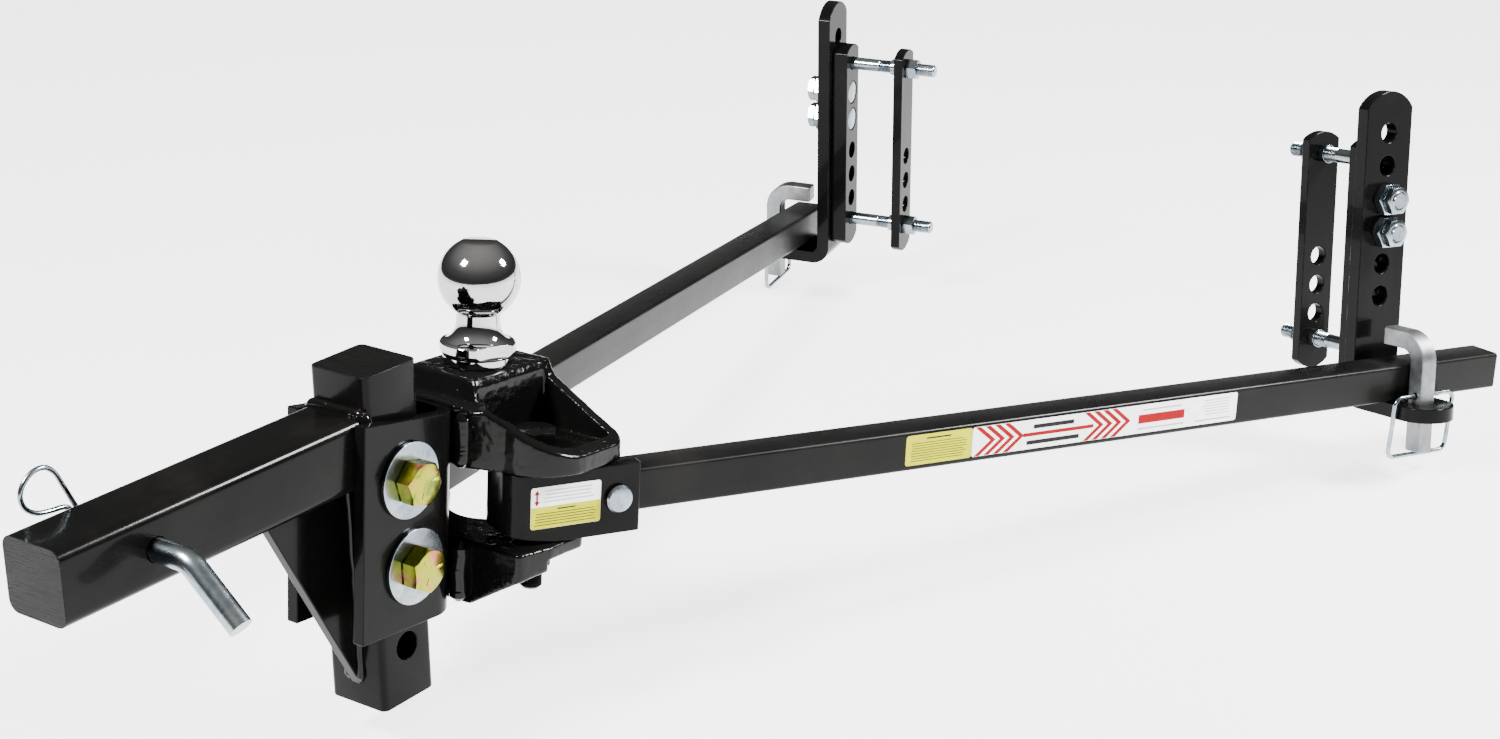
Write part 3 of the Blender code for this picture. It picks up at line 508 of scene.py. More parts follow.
def black_paint(name, cast=False, saw=None, arm=False, weld=False):
    """Gloss black paint over steel: orange peel, runs, slightly duller patches."""
    m, nt, p = nodes_of(name)
    co = nt.nodes.new("ShaderNodeTexCoord")
    patch = noise_tex(nt, co, 14.0, 5.0, 0.6)
    fine = noise_tex(nt, co, 260.0, 3.0, 0.5)
    k = 1.5 if arm else 1.0
    tone = ramp(nt, patch.outputs["Fac"], [(0.25, (0.0012 * k, 0.0012 * k, 0.0013 * k)),
                                           (0.55, (0.0022 * k, 0.0021 * k, 0.0020 * k)),
                                           (0.80, (0.0046 * k, 0.0043 * k, 0.0040 * k))])
    worn = mapped(nt, edge_mask(nt, 0.0010).outputs[0], 0.0, 0.30)
    scuff = noise_tex(nt, co, 120.0, 4.0, 0.7)
    rub = maths(nt, "MULTIPLY", worn.outputs[0], mapped(nt, scuff.outputs["Fac"], 0.0, 1.0, 0.48, 0.66).outputs[0])
    mix = nt.nodes.new("ShaderNodeMixRGB")
    mix.inputs["Color2"].default_value = (0.050, 0.048, 0.044, 1)
    nt.links.new(rub.outputs[0], mix.inputs["Fac"])
    nt.links.new(tone.outputs["Color"], mix.inputs["Color1"])
    colour = mix.outputs["Color"]
    if saw:
        # sawn end face: parallel cut marks seen through the paint
        axis, limit, above, stretch = saw
        sep = nt.nodes.new("ShaderNodeSeparateXYZ")
        nt.links.new(co.outputs["Object"], sep.inputs[0])
        face = maths(nt, "GREATER_THAN" if above else "LESS_THAN", sep.outputs[axis], limit)
        lines = noise_tex(nt, co, 30.0, 6.0, 0.75, 0.4, stretch)
        cut = mapped(nt, lines.outputs["Fac"], 0.0, 1.0, 0.36, 0.68)
        cut = maths(nt, "MULTIPLY", cut.outputs[0], face.outputs[0])
        tint = nt.nodes.new("ShaderNodeMixRGB")
        tint.inputs["Color2"].default_value = (0.0075, 0.0073, 0.0070, 1)
        nt.links.new(maths(nt, "MULTIPLY", cut.outputs[0], 0.85).outputs[0], tint.inputs["Fac"])
        nt.links.new(colour, tint.inputs["Color1"])
        colour = tint.outputs["Color"]
    nt.links.new(colour, p.inputs["Base Color"])
    r0, r1 = (0.07, 0.15) if cast or weld else ((0.26, 0.38) if arm else (0.13, 0.24))
    base = mapped(nt, patch.outputs["Fac"], r0, r1, 0.3, 0.75)
    wobble = mapped(nt, fine.outputs["Fac"], -0.02, 0.03, 0.3, 0.7)
    nt.links.new(maths(nt, "ADD", base.outputs[0], wobble.outputs[0]).outputs[0], p.inputs["Roughness"])
    p.inputs["Specular IOR Level"].default_value = 0.075 if weld else (0.070 if arm else (0.055 if cast else 0.038))
    p.inputs["Coat Weight"].default_value = 0.03 if arm else (0.14 if weld else (0.14 if cast else 0.05))
    p.inputs["Coat Roughness"].default_value = 0.03
    last = bump(nt, noise_tex(nt, co, 38.0, 2.0, 0.5).outputs["Fac"], 0.0006 if cast else 0.00022, 0.5)
    if cast:
        grain = noise_tex(nt, co, 170.0, 4.0, 0.6, 0.5)
        last = bump(nt, grain.outputs["Fac"], 0.0010, 0.55, last)
    elif not weld:
        last = bump(nt, fine.outputs["Fac"], 0.00012, 0.20, last)
        if arm:
            streak = noise_tex(nt, co, 60.0, 4.0, 0.6, 0.0, (0.05, 1.0, 1.0))
            last = bump(nt, streak.outputs["Fac"], 0.00020, 0.30, last)
    if saw:
        last = bump(nt, cut.outputs[0], 0.0009, 0.9, last)
    nt.links.new(last.outputs["Normal"], p.inputs["Normal"])
    return m


def metal(name, stops, rough, scale=30.0, grain=0.5, brushed=None, spangle=False, fine=420.0):
    """Plated steel: a colour ramp over noise, uneven roughness, grain and handling marks."""
    m, nt, p = nodes_of(name)
    co = nt.nodes.new("ShaderNodeTexCoord")
    p.inputs["Metallic"].default_value = 1.0
    patch = noise_tex(nt, co, scale, 4.0, 0.55, 0.6)
    tone = ramp(nt, patch.outputs["Fac"], stops)
    colour = tone.outputs["Color"]
    if spangle:
        cells = nt.nodes.new("ShaderNodeTexVoronoi")
        cells.inputs["Scale"].default_value = 170.0
        nt.links.new(co.outputs["Object"], cells.inputs["Vector"])
        shade = mapped(nt, cells.outputs["Color"], 0.78, 1.08)
        mixed = nt.nodes.new("ShaderNodeMixRGB")
        mixed.blend_type = "MULTIPLY"
        mixed.inputs["Fac"].default_value = 0.8
        nt.links.new(colour, mixed.inputs["Color1"])
        nt.links.new(shade.outputs[0], mixed.inputs["Color2"])
        colour = mixed.outputs["Color"]
    nt.links.new(colour, p.inputs["Base Color"])
    smudge = noise_tex(nt, co, 55.0, 5.0, 0.65, 0.3)
    r = mapped(nt, smudge.outputs["Fac"], rough[0], rough[1], 0.28, 0.74)
    nt.links.new(r.outputs[0], p.inputs["Roughness"])
    grain_tex = noise_tex(nt, co, fine, 4.0, 0.6, 0.0, brushed)
    last = bump(nt, grain_tex.outputs["Fac"], 0.00012, grain)
    scratch = noise_tex(nt, co, 90.0, 3.0, 0.8, 1.5, (1.0, 9.0, 1.0))
    last = bump(nt, scratch.outputs["Fac"], 0.00010, grain * 0.5, last)
    nt.links.new(last.outputs["Normal"], p.inputs["Normal"])
    return m


def label_stock(name, rgb):
    """Printed vinyl: faint mottling, satin surface, slight ripple."""
    m, nt, p = nodes_of(name)
    co = nt.nodes.new("ShaderNodeTexCoord")
    n = noise_tex(nt, co, 130.0, 4.0, 0.6)
    a, b = [c * 0.90 for c in rgb], [min(1.0, c * 1.04) for c in rgb]
    t = ramp(nt, n.outputs["Fac"], [(0.3, a), (0.7, b)])
    nt.links.new(t.outputs["Color"], p.inputs["Base Color"])
    r = mapped(nt, n.outputs["Fac"], 0.28, 0.42)
    nt.links.new(r.outputs[0], p.inputs["Roughness"])
    p.inputs["Specular IOR Level"].default_value = 0.06
    last = bump(nt, noise_tex(nt, co, 40.0, 2.0).outputs["Fac"], 0.00015, 0.4)
    nt.links.new(last.outputs["Normal"], p.inputs["Normal"])
    return m


MATERIAL = {
    "gloss_black": black_paint("gloss_black_paint"),
    "shank_black": black_paint("gloss_black_sawn_shank", saw=("X", 0.0006, False, (0.0, 0.5, 26.0))),
    "drop_black": black_paint("gloss_black_sawn_bar", saw=("Z", 0.0507, True, (26.0, 0.5, 0.0))),
    "arm_black": black_paint("gloss_black_bar", arm=True),
    "cast_black": black_paint("gloss_black_casting", cast=True),
    "weld_black": black_paint("gloss_black_weld", weld=True),
    "chrome": metal("chrome_plate", [(0.3, (0.35, 0.35, 0.36)), (0.7, (0.45, 0.45, 0.455))], (0.030, 0.075),
                    20.0, 0.10),
    "zinc": metal("bright_zinc", [(0.25, (0.11, 0.14, 0.17)), (0.5, (0.20, 0.235, 0.26)), (0.75, (0.33, 0.345, 0.35))],
                  (0.15, 0.30), 60.0, 0.5),
    "yellow_zinc": metal("yellow_zinc_plate",
                         [(0.28, (0.06, 0.09, 0.008)), (0.42, (0.20, 0.23, 0.014)), (0.56, (0.28, 0.25, 0.018)),
                          (0.66, (0.34, 0.11, 0.07)), (0.76, (0.15, 0.25, 0.04))], (0.13, 0.27), 75.0, 0.5),
    "galvanised": metal("galvanised_forging",
                        [(0.25, (0.14, 0.15, 0.16)), (0.55, (0.21, 0.22, 0.225)), (0.8, (0.30, 0.30, 0.295))],
                        (0.34, 0.52), 45.0, 0.7, spangle=True, fine=260.0),
    "label_white": label_stock("label_white", (0.93, 0.93, 0.92)),
    "label_yellow": label_stock("label_yellow", (0.46, 0.46, 0.0)),
    "label_red": label_stock("label_red", (0.22, 0.001, 0.004)),
    "label_ink": label_stock("label_ink", (0.01, 0.01, 0.01)),
    "label_faint": label_stock("label_faint_ink", (0.36, 0.36, 0.35)),
}


# --------------------------------------------------------------------- pieces
def finish_piece(name, bm, kind, place, body, sharp=32.0, bevel=0.0):
    bmesh.ops.recalc_face_normals(bm, faces=bm.faces)
    me = bpy.data.meshes.new(name)
    bm.to_mesh(me)
    bm.free()
    me.shade_smooth()
    me.set_sharp_from_angle(angle=radians(sharp))
    ob = bpy.data.objects.new(name, me)
    bpy.context.scene.collection.objects.link(ob)
    ob.matrix_world = place if place is not None else Matrix.Identity(4)
    me.materials.append(MATERIAL[kind])
    if bevel:
        m = ob.modifiers.new("edge", "BEVEL")
        m.width = bevel * MM
        m.segments = 2
        m.limit_method = "ANGLE"
        m.angle_limit = radians(sharp)
        m.use_clamp_overlap = False
        m.harden_normals = True
        m.miter_outer = "MITER_ARC"
    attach(ob, body)
    return ob


def cast_surface(bm, voxel=1.3, relax=7):
    """Voxel remesh and relaxation: the soft edges and uneven skin of a casting."""
    ob = to_temp(bm)
    m = ob.modifiers.new("skin", "REMESH")
    m.mode, m.voxel_size, m.use_smooth_shade = "VOXEL", voxel * MM, True
    s = ob.modifiers.new("relax", "SMOOTH")
    s.factor, s.iterations = 0.5, relax
    out = evaluated(ob)
    me = ob.data
    bpy.data.objects.remove(ob, do_unlink=True)
    bpy.data.meshes.remove(me)
    out.normal_update()
    for v in out.verts:
        p = v.co * 1000
        d = noise.noise(p * 0.060) * 0.28 + noise.noise(p * 0.21 + Vector((9, 4, 2))) * 0.16
        v.co += v.normal * (d * MM)
    return out


def node(name, bm, kind, place=None, parent=None, sharp=32.0, bevel=0.0, cast=False):
    """Detailed stand-in for one CAD node, riding on that node's body."""
    if cast:
        bm, sharp = cast_surface(bm), 70.0
    ob = finish_piece(name + "_fine", bm, kind, place, BODY_OF[name], sharp, bevel)
    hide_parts(name)
    return ob


def empty(name, place, parent=None):
    """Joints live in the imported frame, so nothing is made for them here."""
    return None


# --------------------------------------------------------------- main frames
TILT = radians(HEAD_TILT)
XH = Vector((cos(TILT), 0, -sin(TILT)))
ZH = Vector((sin(TILT), 0, cos(TILT)))
HC = Vector(HEAD_ORIGIN)
HEAD = frame(HC, XH, ZH)


def head_point(x, y, z):
    return HC + XH * x + Vector((0, y, 0)) + ZH * z


def arm_axes(side):
    a = radians(ARM_YAW[side])
    u = XH * cos(a) + Vector((0, 1, 0)) * sin(a)
    s = 1 if side == "left" else -1
    return u, head_point(PIVOT_X, s * PIVOT_Y, ARM_Z), s


def bracket_frame(side):
    """Origin on the arm's centreline station, moved inboard to the leaf's outer face."""
    b = BRACKET[side]
    u, pivot, s = arm_axes(side)
    a, p, r = radians(b["yaw"]), radians(b["pitch"]), radians(b["roll"])
    h = Vector((cos(a), s * sin(a), 0))
    level = Vector((-sin(a), s * cos(a), 0))
    up = Vector((0, 0, 1))
    x = h * cos(p) + up * sin(p)
    z1 = up * cos(p) - h * sin(p)
    out = level * cos(r) - z1 * sin(r)
    z = z1 * cos(r) + level * sin(r)
    origin = pivot + u * b["t"] - out * b["off"]
    return origin, x, out, z


def foot_top(side):
    """Height in the bracket frame of the foot's top, just under the arm."""
    u, pivot, s = arm_axes(side)
    origin, x, out, z = bracket_frame(side)
    v = ZH.cross(u)
    low = 1e9
    for w in (-ARM / 2, ARM / 2):
        for edge in (-LEAF_HALF, LEAF_HALF):
            base = pivot + v * w - ZH * (ARM / 2)
            t = (edge - (base - origin).dot(x)) / u.dot(x)
            low = min(low, (base + u * t - origin).dot(z))
    return low - 0.4


# ------------------------------------------------------------ shank and pin
def build_shank():
    h = BAR / 2
    bm = prism(fillet(rect(-h, h, -h, h), SHANK_CORNER, 5), "x", 0, SHANK_LEN)
    node("shank_bar", minus(bm, cyl((PIN_X, -40, 0), (PIN_X, 40, 0), PIN_HOLE_D / 2, 28)), "shank_black", bevel=0.5)

    bm = prism(fillet(rect(DROP_X0, DROP_X1, -h, h), DROP_CORNER, 4), "z", DROP_BOTTOM, DROP_TOP)
    holes = [cyl((DROP_HOLE_X, -40, z), (DROP_HOLE_X, 40, z), DROP_HOLE_D / 2, 28) for z in DROP_HOLE_Z]
    node("drop_bar", minus(bm, *holes), "drop_black", bevel=0.9)

    tri = [(178.0, -h - GAP), (DROP_X0 - GAP, -h - GAP), (DROP_X0 - GAP, -179.0)]
    node("shank_gusset", prism(tri, "y", -GUSSET_T / 2, GUSSET_T / 2), "gloss_black", bevel=1.0)


def build_hitch_pin():
    a = radians(PIN_HANDLE_ANGLE)
    joint = empty("hitch_pin_axis", Matrix.Translation((PIN_X * MM, 0, 0)))
    tip = (0, PIN_BEND_Y - PIN_HANDLE_LEN * cos(a), -PIN_HANDLE_LEN * sin(a))
    path = fillet([(0, PIN_TIP_Y, 0), (0, PIN_BEND_Y, 0), tip], PIN_BEND_R, 14, closed=False)
    leg = Vector((0.431, 0, -0.902)).normalized()
    hole = cyl(Vector((0, CLIP_Y, 0)) - leg * 12, Vector((0, CLIP_Y, 0)) + leg * 12, CLIP_HOLE_D / 2, 16)
    node("hitch_pin", minus(wire(path, HITCH_PIN_D, 10), hole), "zinc",
         Matrix.Translation((PIN_X * MM, 0, 0)), joint)

    # spring clip: straight leg through the pin, round eye, bowed outer leg
    side = Vector((-leg.z, 0, leg.x)) * -1
    pts = [(18, 0), (8, 0), (-8, 0), (-24, 0), (-38, 0), (-48, 0.3), (-56.0, 4.0), (-60, 12),
           (-58.5, 21.5), (-53, 27.5), (-44.5, 28.5), (-36, 24), (-29.5, 15.5), (-25, 8.0), (-21, 4.6),
           (-17, 4.9), (-12, 8.0), (-6, 10.7), (0, 11.1), (8, 10.7), (15, 10.7), (20, 12.6)]
    path = [tuple(leg * t + side * n + Vector((0, CLIP_Y, 0))) for t, n in smooth_path(pts, 6)]
    node("hitch_pin_clip", wire(path, CLIP_D, 5), "zinc", Matrix.Translation((PIN_X * MM, 0, 0)), joint)


# --------------------------------------------------------------------- head
def build_head():
    r_out = CHAN_BEND_IN + (CHAN_WEB_OUT - CHAN_WEB_IN)
    outline = [(CHAN_FRONT, -CHAN_OUT), (CHAN_WEB_OUT, -CHAN_OUT), (CHAN_WEB_OUT, CHAN_OUT),
               (CHAN_FRONT, CHAN_OUT), (CHAN_FRONT, CHAN_IN), (CHAN_WEB_IN, CHAN_IN),
               (CHAN_WEB_IN, -CHAN_IN), (CHAN_FRONT, -CHAN_IN)]
    radii = [0, r_out, r_out, 0, 0, CHAN_BEND_IN, CHAN_BEND_IN, 0]
    bm = prism(fillet(outline, radii, 14), "z", CHAN_Z0, CHAN_Z1)
    keep = prism(fillet([(CHAN_FRONT - 5, CHAN_Z0), (CHAN_WEB_OUT + 0.001, CHAN_Z0),
                         (CHAN_WEB_OUT + 0.001, CHAN_Z2), (CHAN_FRONT, CHAN_Z1), (CHAN_FRONT - 5, CHAN_Z1)],
                        [0, 14.0, 0, 0, 0], 6), "y", -50, 50)
    holes = [cyl((x, -50, z), (x, 50, z), HEAD_BOLT_HOLE / 2, 28) for x, z in HEAD_BOLTS]
    stem = cyl((30, 0, -30), (60, 0, -30), 5.4, 20)
    bm = carve(bm, [("INTERSECT", keep)] + [("DIFFERENCE", c) for c in holes] + [("DIFFERENCE", stem)])
    node("head_channel", bm, "gloss_black", HEAD, bevel=0.9)

    for label, (x, z) in zip(("lower", "upper"), HEAD_BOLTS):
        bolt = [(0, 60.0), (7.6, 60.0)] + thread(9.52, 58.9, 38.0, 1.6) + [(9.52, 36.0), (9.52, -39.0), (0, -39.0)]
        shaft = lathe([(r, h) for r, h in bolt], 28, along((x, 0, z), (0, 1, 0)))
        cap = hexhead((x, -38.99, z), (x, -51.5, z), 28.6, turn=0.35 if label == "upper" else 0.1, base=0.7)
        node(label + "_head_bolt", carve(cap, [("UNION", shaft)]), "yellow_zinc", HEAD)
        for tag, s in (("near", -1), ("far", 1)):
            y0, y1 = s * (CHAN_OUT + GAP), s * (CHAN_OUT + GAP + WASHER_T)
            ring = minus(cyl((x, y0, z), (x, y1, z), WASHER_OD / 2, 36),
                         cyl((x, y0 - s * 2, z), (x, y1 + s * 2, z), WASHER_ID / 2, 24))
            node(label + "_head_washer_" + tag, ring, "zinc", HEAD, bevel=0.45)
        nut = minus(hexnut((x, 39.0, z), (x, 55.0, z), 28.6, turn=0.2),
                    cyl((x, 30, z), (x, 60, z), HEAD_BOLT_D / 2 + 0.35, 24))
        node(label + "_head_nut", nut, "zinc", HEAD)

    # rivet with its washers, between the drop bar and the channel's web
    prof = [(0, 29.9)]
    x = 29.9
    for k in range(3):
        prof += [(10.4, x), (10.4, x + 3.6)] + ([(9.4, x + 3.6), (9.4, x + 4.0)] if k < 2 else [])
        x += 4.0
    prof += [(5.0, prof[-1][1]), (5.0, 51.7), (0, 51.7)]
    node("tilt_spacer", lathe([(r, h) for r, h in prof], 24, along((0, 0, -30), (1, 0, 0))), "zinc", HEAD)


def upper_outline(grow=0.0):
    right = [(52.3, 0.0), (52.3, -38.0), (62.1, -62.0)]
    right += arc(EAR_X, -EAR_Y, EAR_R, 180, 270, 9)[1:]
    right += fillet([(CAST_REAR - 60, -101.5), (CAST_REAR, -101.5), (CAST_REAR, 0)], 10, 4, False)[1:-1]
    left = [(x, -y) for x, y in reversed(right[1:])]
    return right[1:] + left


def build_castings():
    z0, z1 = CAST_Z0, PLATFORM_Z
    plan = prism(upper_outline(), "z", z0, z1 + 10)
    half = [(101.5, z0), (101.5, 69.0), (95.0, 74.0), (36.0, 105.0), (PLATFORM_HALF, z1)]
    front = prism(half + [(-y, z) for y, z in reversed(half)], "x", 30, 170)
    side = prism([(50, z0 - 5), (170, z0 - 5), (170, z1 + 12), (66.0, z1 + 12), (66.0, z1), (60.0, 101.0),
                  (52.0, 97.0), (50, 97.0)], "y", -120, 120)
    tools = [("INTERSECT", front), ("INTERSECT", side)]
    for s in (1, -1):
        pocket = arc(EAR_X, s * EAR_Y, 31.0, 180, 180 + s * -90, 8)
        pocket += [(139.0, s * (EAR_Y + 31.0)), (139.0, s * 33.0), (63.0, s * 33.0), (63.0, s * 50.0)]
        tools.append(("DIFFERENCE", prism(pocket, "z", POCKET_FLOOR, z1 + 20)))
        tools.append(("DIFFERENCE", cyl((PIVOT_X, s * PIVOT_Y, z0 - 5), (PIVOT_X, s * PIVOT_Y, 80), 10.0, 28)))
    cavity = prism(fillet(rect(66.0, 140.0, -27.0, 27.0), 6.0, 3), "z", z0 - 10, z1 - PLATFORM_T)
    tools.append(("DIFFERENCE", cavity))
    tools.append(("DIFFERENCE", cyl((BALL_X, 0, 80), (BALL_X, 0, 130), BALL_SHANK_D / 2 + 0.35, 32)))
    node("upper_head", carve(plan, tools), "cast_black", HEAD, cast=True)

    top = JAW_TOP
    right = [(52.3, 0.0), (52.3, -36.0)] + arc(56.5, -JAW_HALF + 4.0, 4.0, 190, 262, 3)
    right += arc(EAR_X, -EAR_Y, JAW_EAR_R, -96, 50, 14)
    right += arc(119.0, 0.0, 28.5, 232, 180, 6)
    left = [(x, -y) for x, y in reversed(right[1:-1])]
    plan = prism(right[1:] + left, "z", -42.5, top)
    side = prism([(50, top + 5), (50, -42.5), (62, -42.5), (62, -16), (80, -16), (80, top - PLATE),
                  (155, top - PLATE), (155, top + 5)], "y", -100, 100)
    front = prism([(-90, top + 5), (90, top + 5), (90, -12.2), (40, -42.6), (-40, -42.6), (-90, -12.2)],
                  "x", 40, 160)
    tools = [("INTERSECT", side), ("INTERSECT", front)]
    for s in (1, -1):
        tools.append(("DIFFERENCE", cyl((PIVOT_X, s * PIVOT_Y, -20), (PIVOT_X, s * PIVOT_Y, 20), 10.1, 28)))
    node("lower_head", carve(plan, tools), "cast_black", HEAD, cast=True)


def ball_profile(n=10):
    a0 = asin(12.6 / BALL_R)
    a1 = pi - asin(BALL_NECK_R / BALL_R)
    prof = [(0, BALL_Z + BALL_R * cos(a0))]
    prof += [(BALL_R * sin(a0 + (a1 - a0) * k / n), BALL_Z + BALL_R * cos(a0 + (a1 - a0) * k / n))
             for k in range(n + 1)]
    flare = [(BALL_NECK_R, 147.0)]
    for k in range(1, 17):
        a = radians(90 * k / 16)
        flare.append((BALL_NECK_R + (BALL_COLLAR_R - 1.0 - BALL_NECK_R) * (1 - cos(a)), 147.0 - 15.0 * sin(a)))
    prof += flare + [(BALL_COLLAR_R, 131.0), (BALL_COLLAR_R, 125.5), (24.5, 122.0), (24.5, PLATFORM_Z + GAP),
                     (BALL_SHANK_D / 2, PLATFORM_Z + GAP)] + thread(BALL_SHANK_D / 2, 94.0, 65.4, 2.1)
    prof += [(BALL_SHANK_D / 2 - 1.9, 63.8), (0, 63.8)]
    return prof


def build_ball():
    bm = lathe(ball_profile(40), 84, Matrix.Translation((BALL_X * MM, 0, 0)))
    n = Vector((-0.30, -0.954, 0)).normalized()
    t = Vector((-n.y, n.x, 0))
    tools = []
    for s in (1, -1):
        c = Vector((BALL_X, 0, 0)) + n * (s * 22.6)
        q = [c - t * 40, c + t * 40, c + t * 40 + n * (s * 30), c - t * 40 + n * (s * 30)]
        tools.append(("DIFFERENCE", prism([(p.x, p.y) for p in (q if s > 0 else q[::-1])], "z", 123.5, 137.0)))
    node("hitch_ball", carve(bm, tools), "chrome", HEAD, bevel=0.35)

    low = PLATFORM_Z - PLATFORM_T - GAP
    washer = minus(cyl((BALL_X, 0, low - 6), (BALL_X, 0, low), 23.0, 36),
                   cyl((BALL_X, 0, low - 10), (BALL_X, 0, low + 5), 16.5, 28),
                   prism(rect(BALL_X + 10, BALL_X + 30, -0.8, 0.8), "z", low - 8, low + 3))
    node("ball_lock_washer", washer, "zinc", HEAD)
    top = low - 6 - GAP
    nut = minus(hexnut((BALL_X, 0, top - 22), (BALL_X, 0, top), 41.3, turn=0.26),
                cyl((BALL_X, 0, top - 30), (BALL_X, 0, top + 5), BALL_SHANK_D / 2 + 0.35, 32))
    node("ball_nut", nut, "zinc", HEAD)


# --------------------------------------------------------------------- arms
def build_arm(side):
    u, pivot, s = arm_axes(side)
    place = frame(pivot, u, ZH)
    swivel = empty(side + "_arm_swivel", place)
    z0, z1 = SOCKET_Z0 - ARM_Z, SOCKET_Z1 - ARM_Z

    outline = fillet([(SOCKET_FRONT, -SOCKET_HALF), (SOCKET_REAR, -SOCKET_HALF), (SOCKET_REAR, SOCKET_HALF),
                      (SOCKET_FRONT, SOCKET_HALF)], [16, 2, 2, 16], 6)
    slot = prism(rect(SLOT_START, SOCKET_REAR + 10, -SOCKET_SLOT / 2, SOCKET_SLOT / 2), "z", z0 - 10, z1 + 10)
    chamfer = prism([(SOCKET_FRONT - 10, z0 - 10), (SOCKET_FRONT - 10, z0 + 7.5), (5, z0), (5, z0 - 10)],
                    "y", -40, 40)
    bore = cyl((0, 0, z0 - 10), (0, 0, z1 + 10), 9.95, 28)
    hole = cyl((SOCKET_PIN_T, -40, 0), (SOCKET_PIN_T, 40, 0), SOCKET_PIN_D / 2 + 0.35, 28)
    node(side + "_socket", minus(prism(outline, "z", z0, z1), slot, chamfer, bore, hole),
         "gloss_black", place, swivel, bevel=0.8)

    a = ARM / 2
    bar = prism(fillet(rect(-a, a, -a, a), 3.0, 6), "x", ARM_START, ARM_END)
    hole = cyl((SOCKET_PIN_T, -40, 0), (SOCKET_PIN_T, 40, 0), SOCKET_PIN_D / 2 + 0.35, 28)
    node(side + "_spring_arm", minus(bar, hole), "arm_black", place, swivel, bevel=0.5)

    o = SOCKET_HALF + GAP
    r = SOCKET_PIN_D / 2
    prof = [(0, -o - 3.4), (8.6, -o - 3.4), (10.0, -o - 2.2), (10.0, -o), (r, -o), (r, o), (10.2, o),
            (10.2, o + 2.6), (9.0, o + 4.3), (6.0, o + 5.0), (0, o + 5.2)]
    node(side + "_socket_pin", lathe(prof, 28, along((SOCKET_PIN_T, 0, 0), (0, s, 0))), "zinc", place, swivel)

    # king bolt through both castings, in the head frame
    c = (PIVOT_X, s * PIVOT_Y)
    prof = [(0, -36.0), (6.4, -36.0)] + thread(7.95, -34.9, -21.5, 1.6) + [(7.95, -20.5), (7.95, -5.0), (9.52, -4.6), (9.52, POCKET_FLOOR + GAP),
            (0, POCKET_FLOOR + GAP)]
    shaft = lathe(prof, 28, Matrix.Translation((c[0] * MM, c[1] * MM, 0)))
    cap = hexhead((*c, POCKET_FLOOR + GAP - 0.01), (*c, POCKET_FLOOR + GAP + 13.5), 28.6, turn=0.15, base=0.7)
    node(side + "_socket_bolt", carve(cap, [("UNION", shaft)]), "gloss_black", HEAD)
    top = JAW_TOP - PLATE - GAP
    nut = minus(hexnut((*c, top - 14.0), (*c, top), 23.8, turn=0.4), cyl((*c, top - 20), (*c, top + 5), 8.3, 24))
    node(side + "_socket_nut", nut, "gloss_black", HEAD)


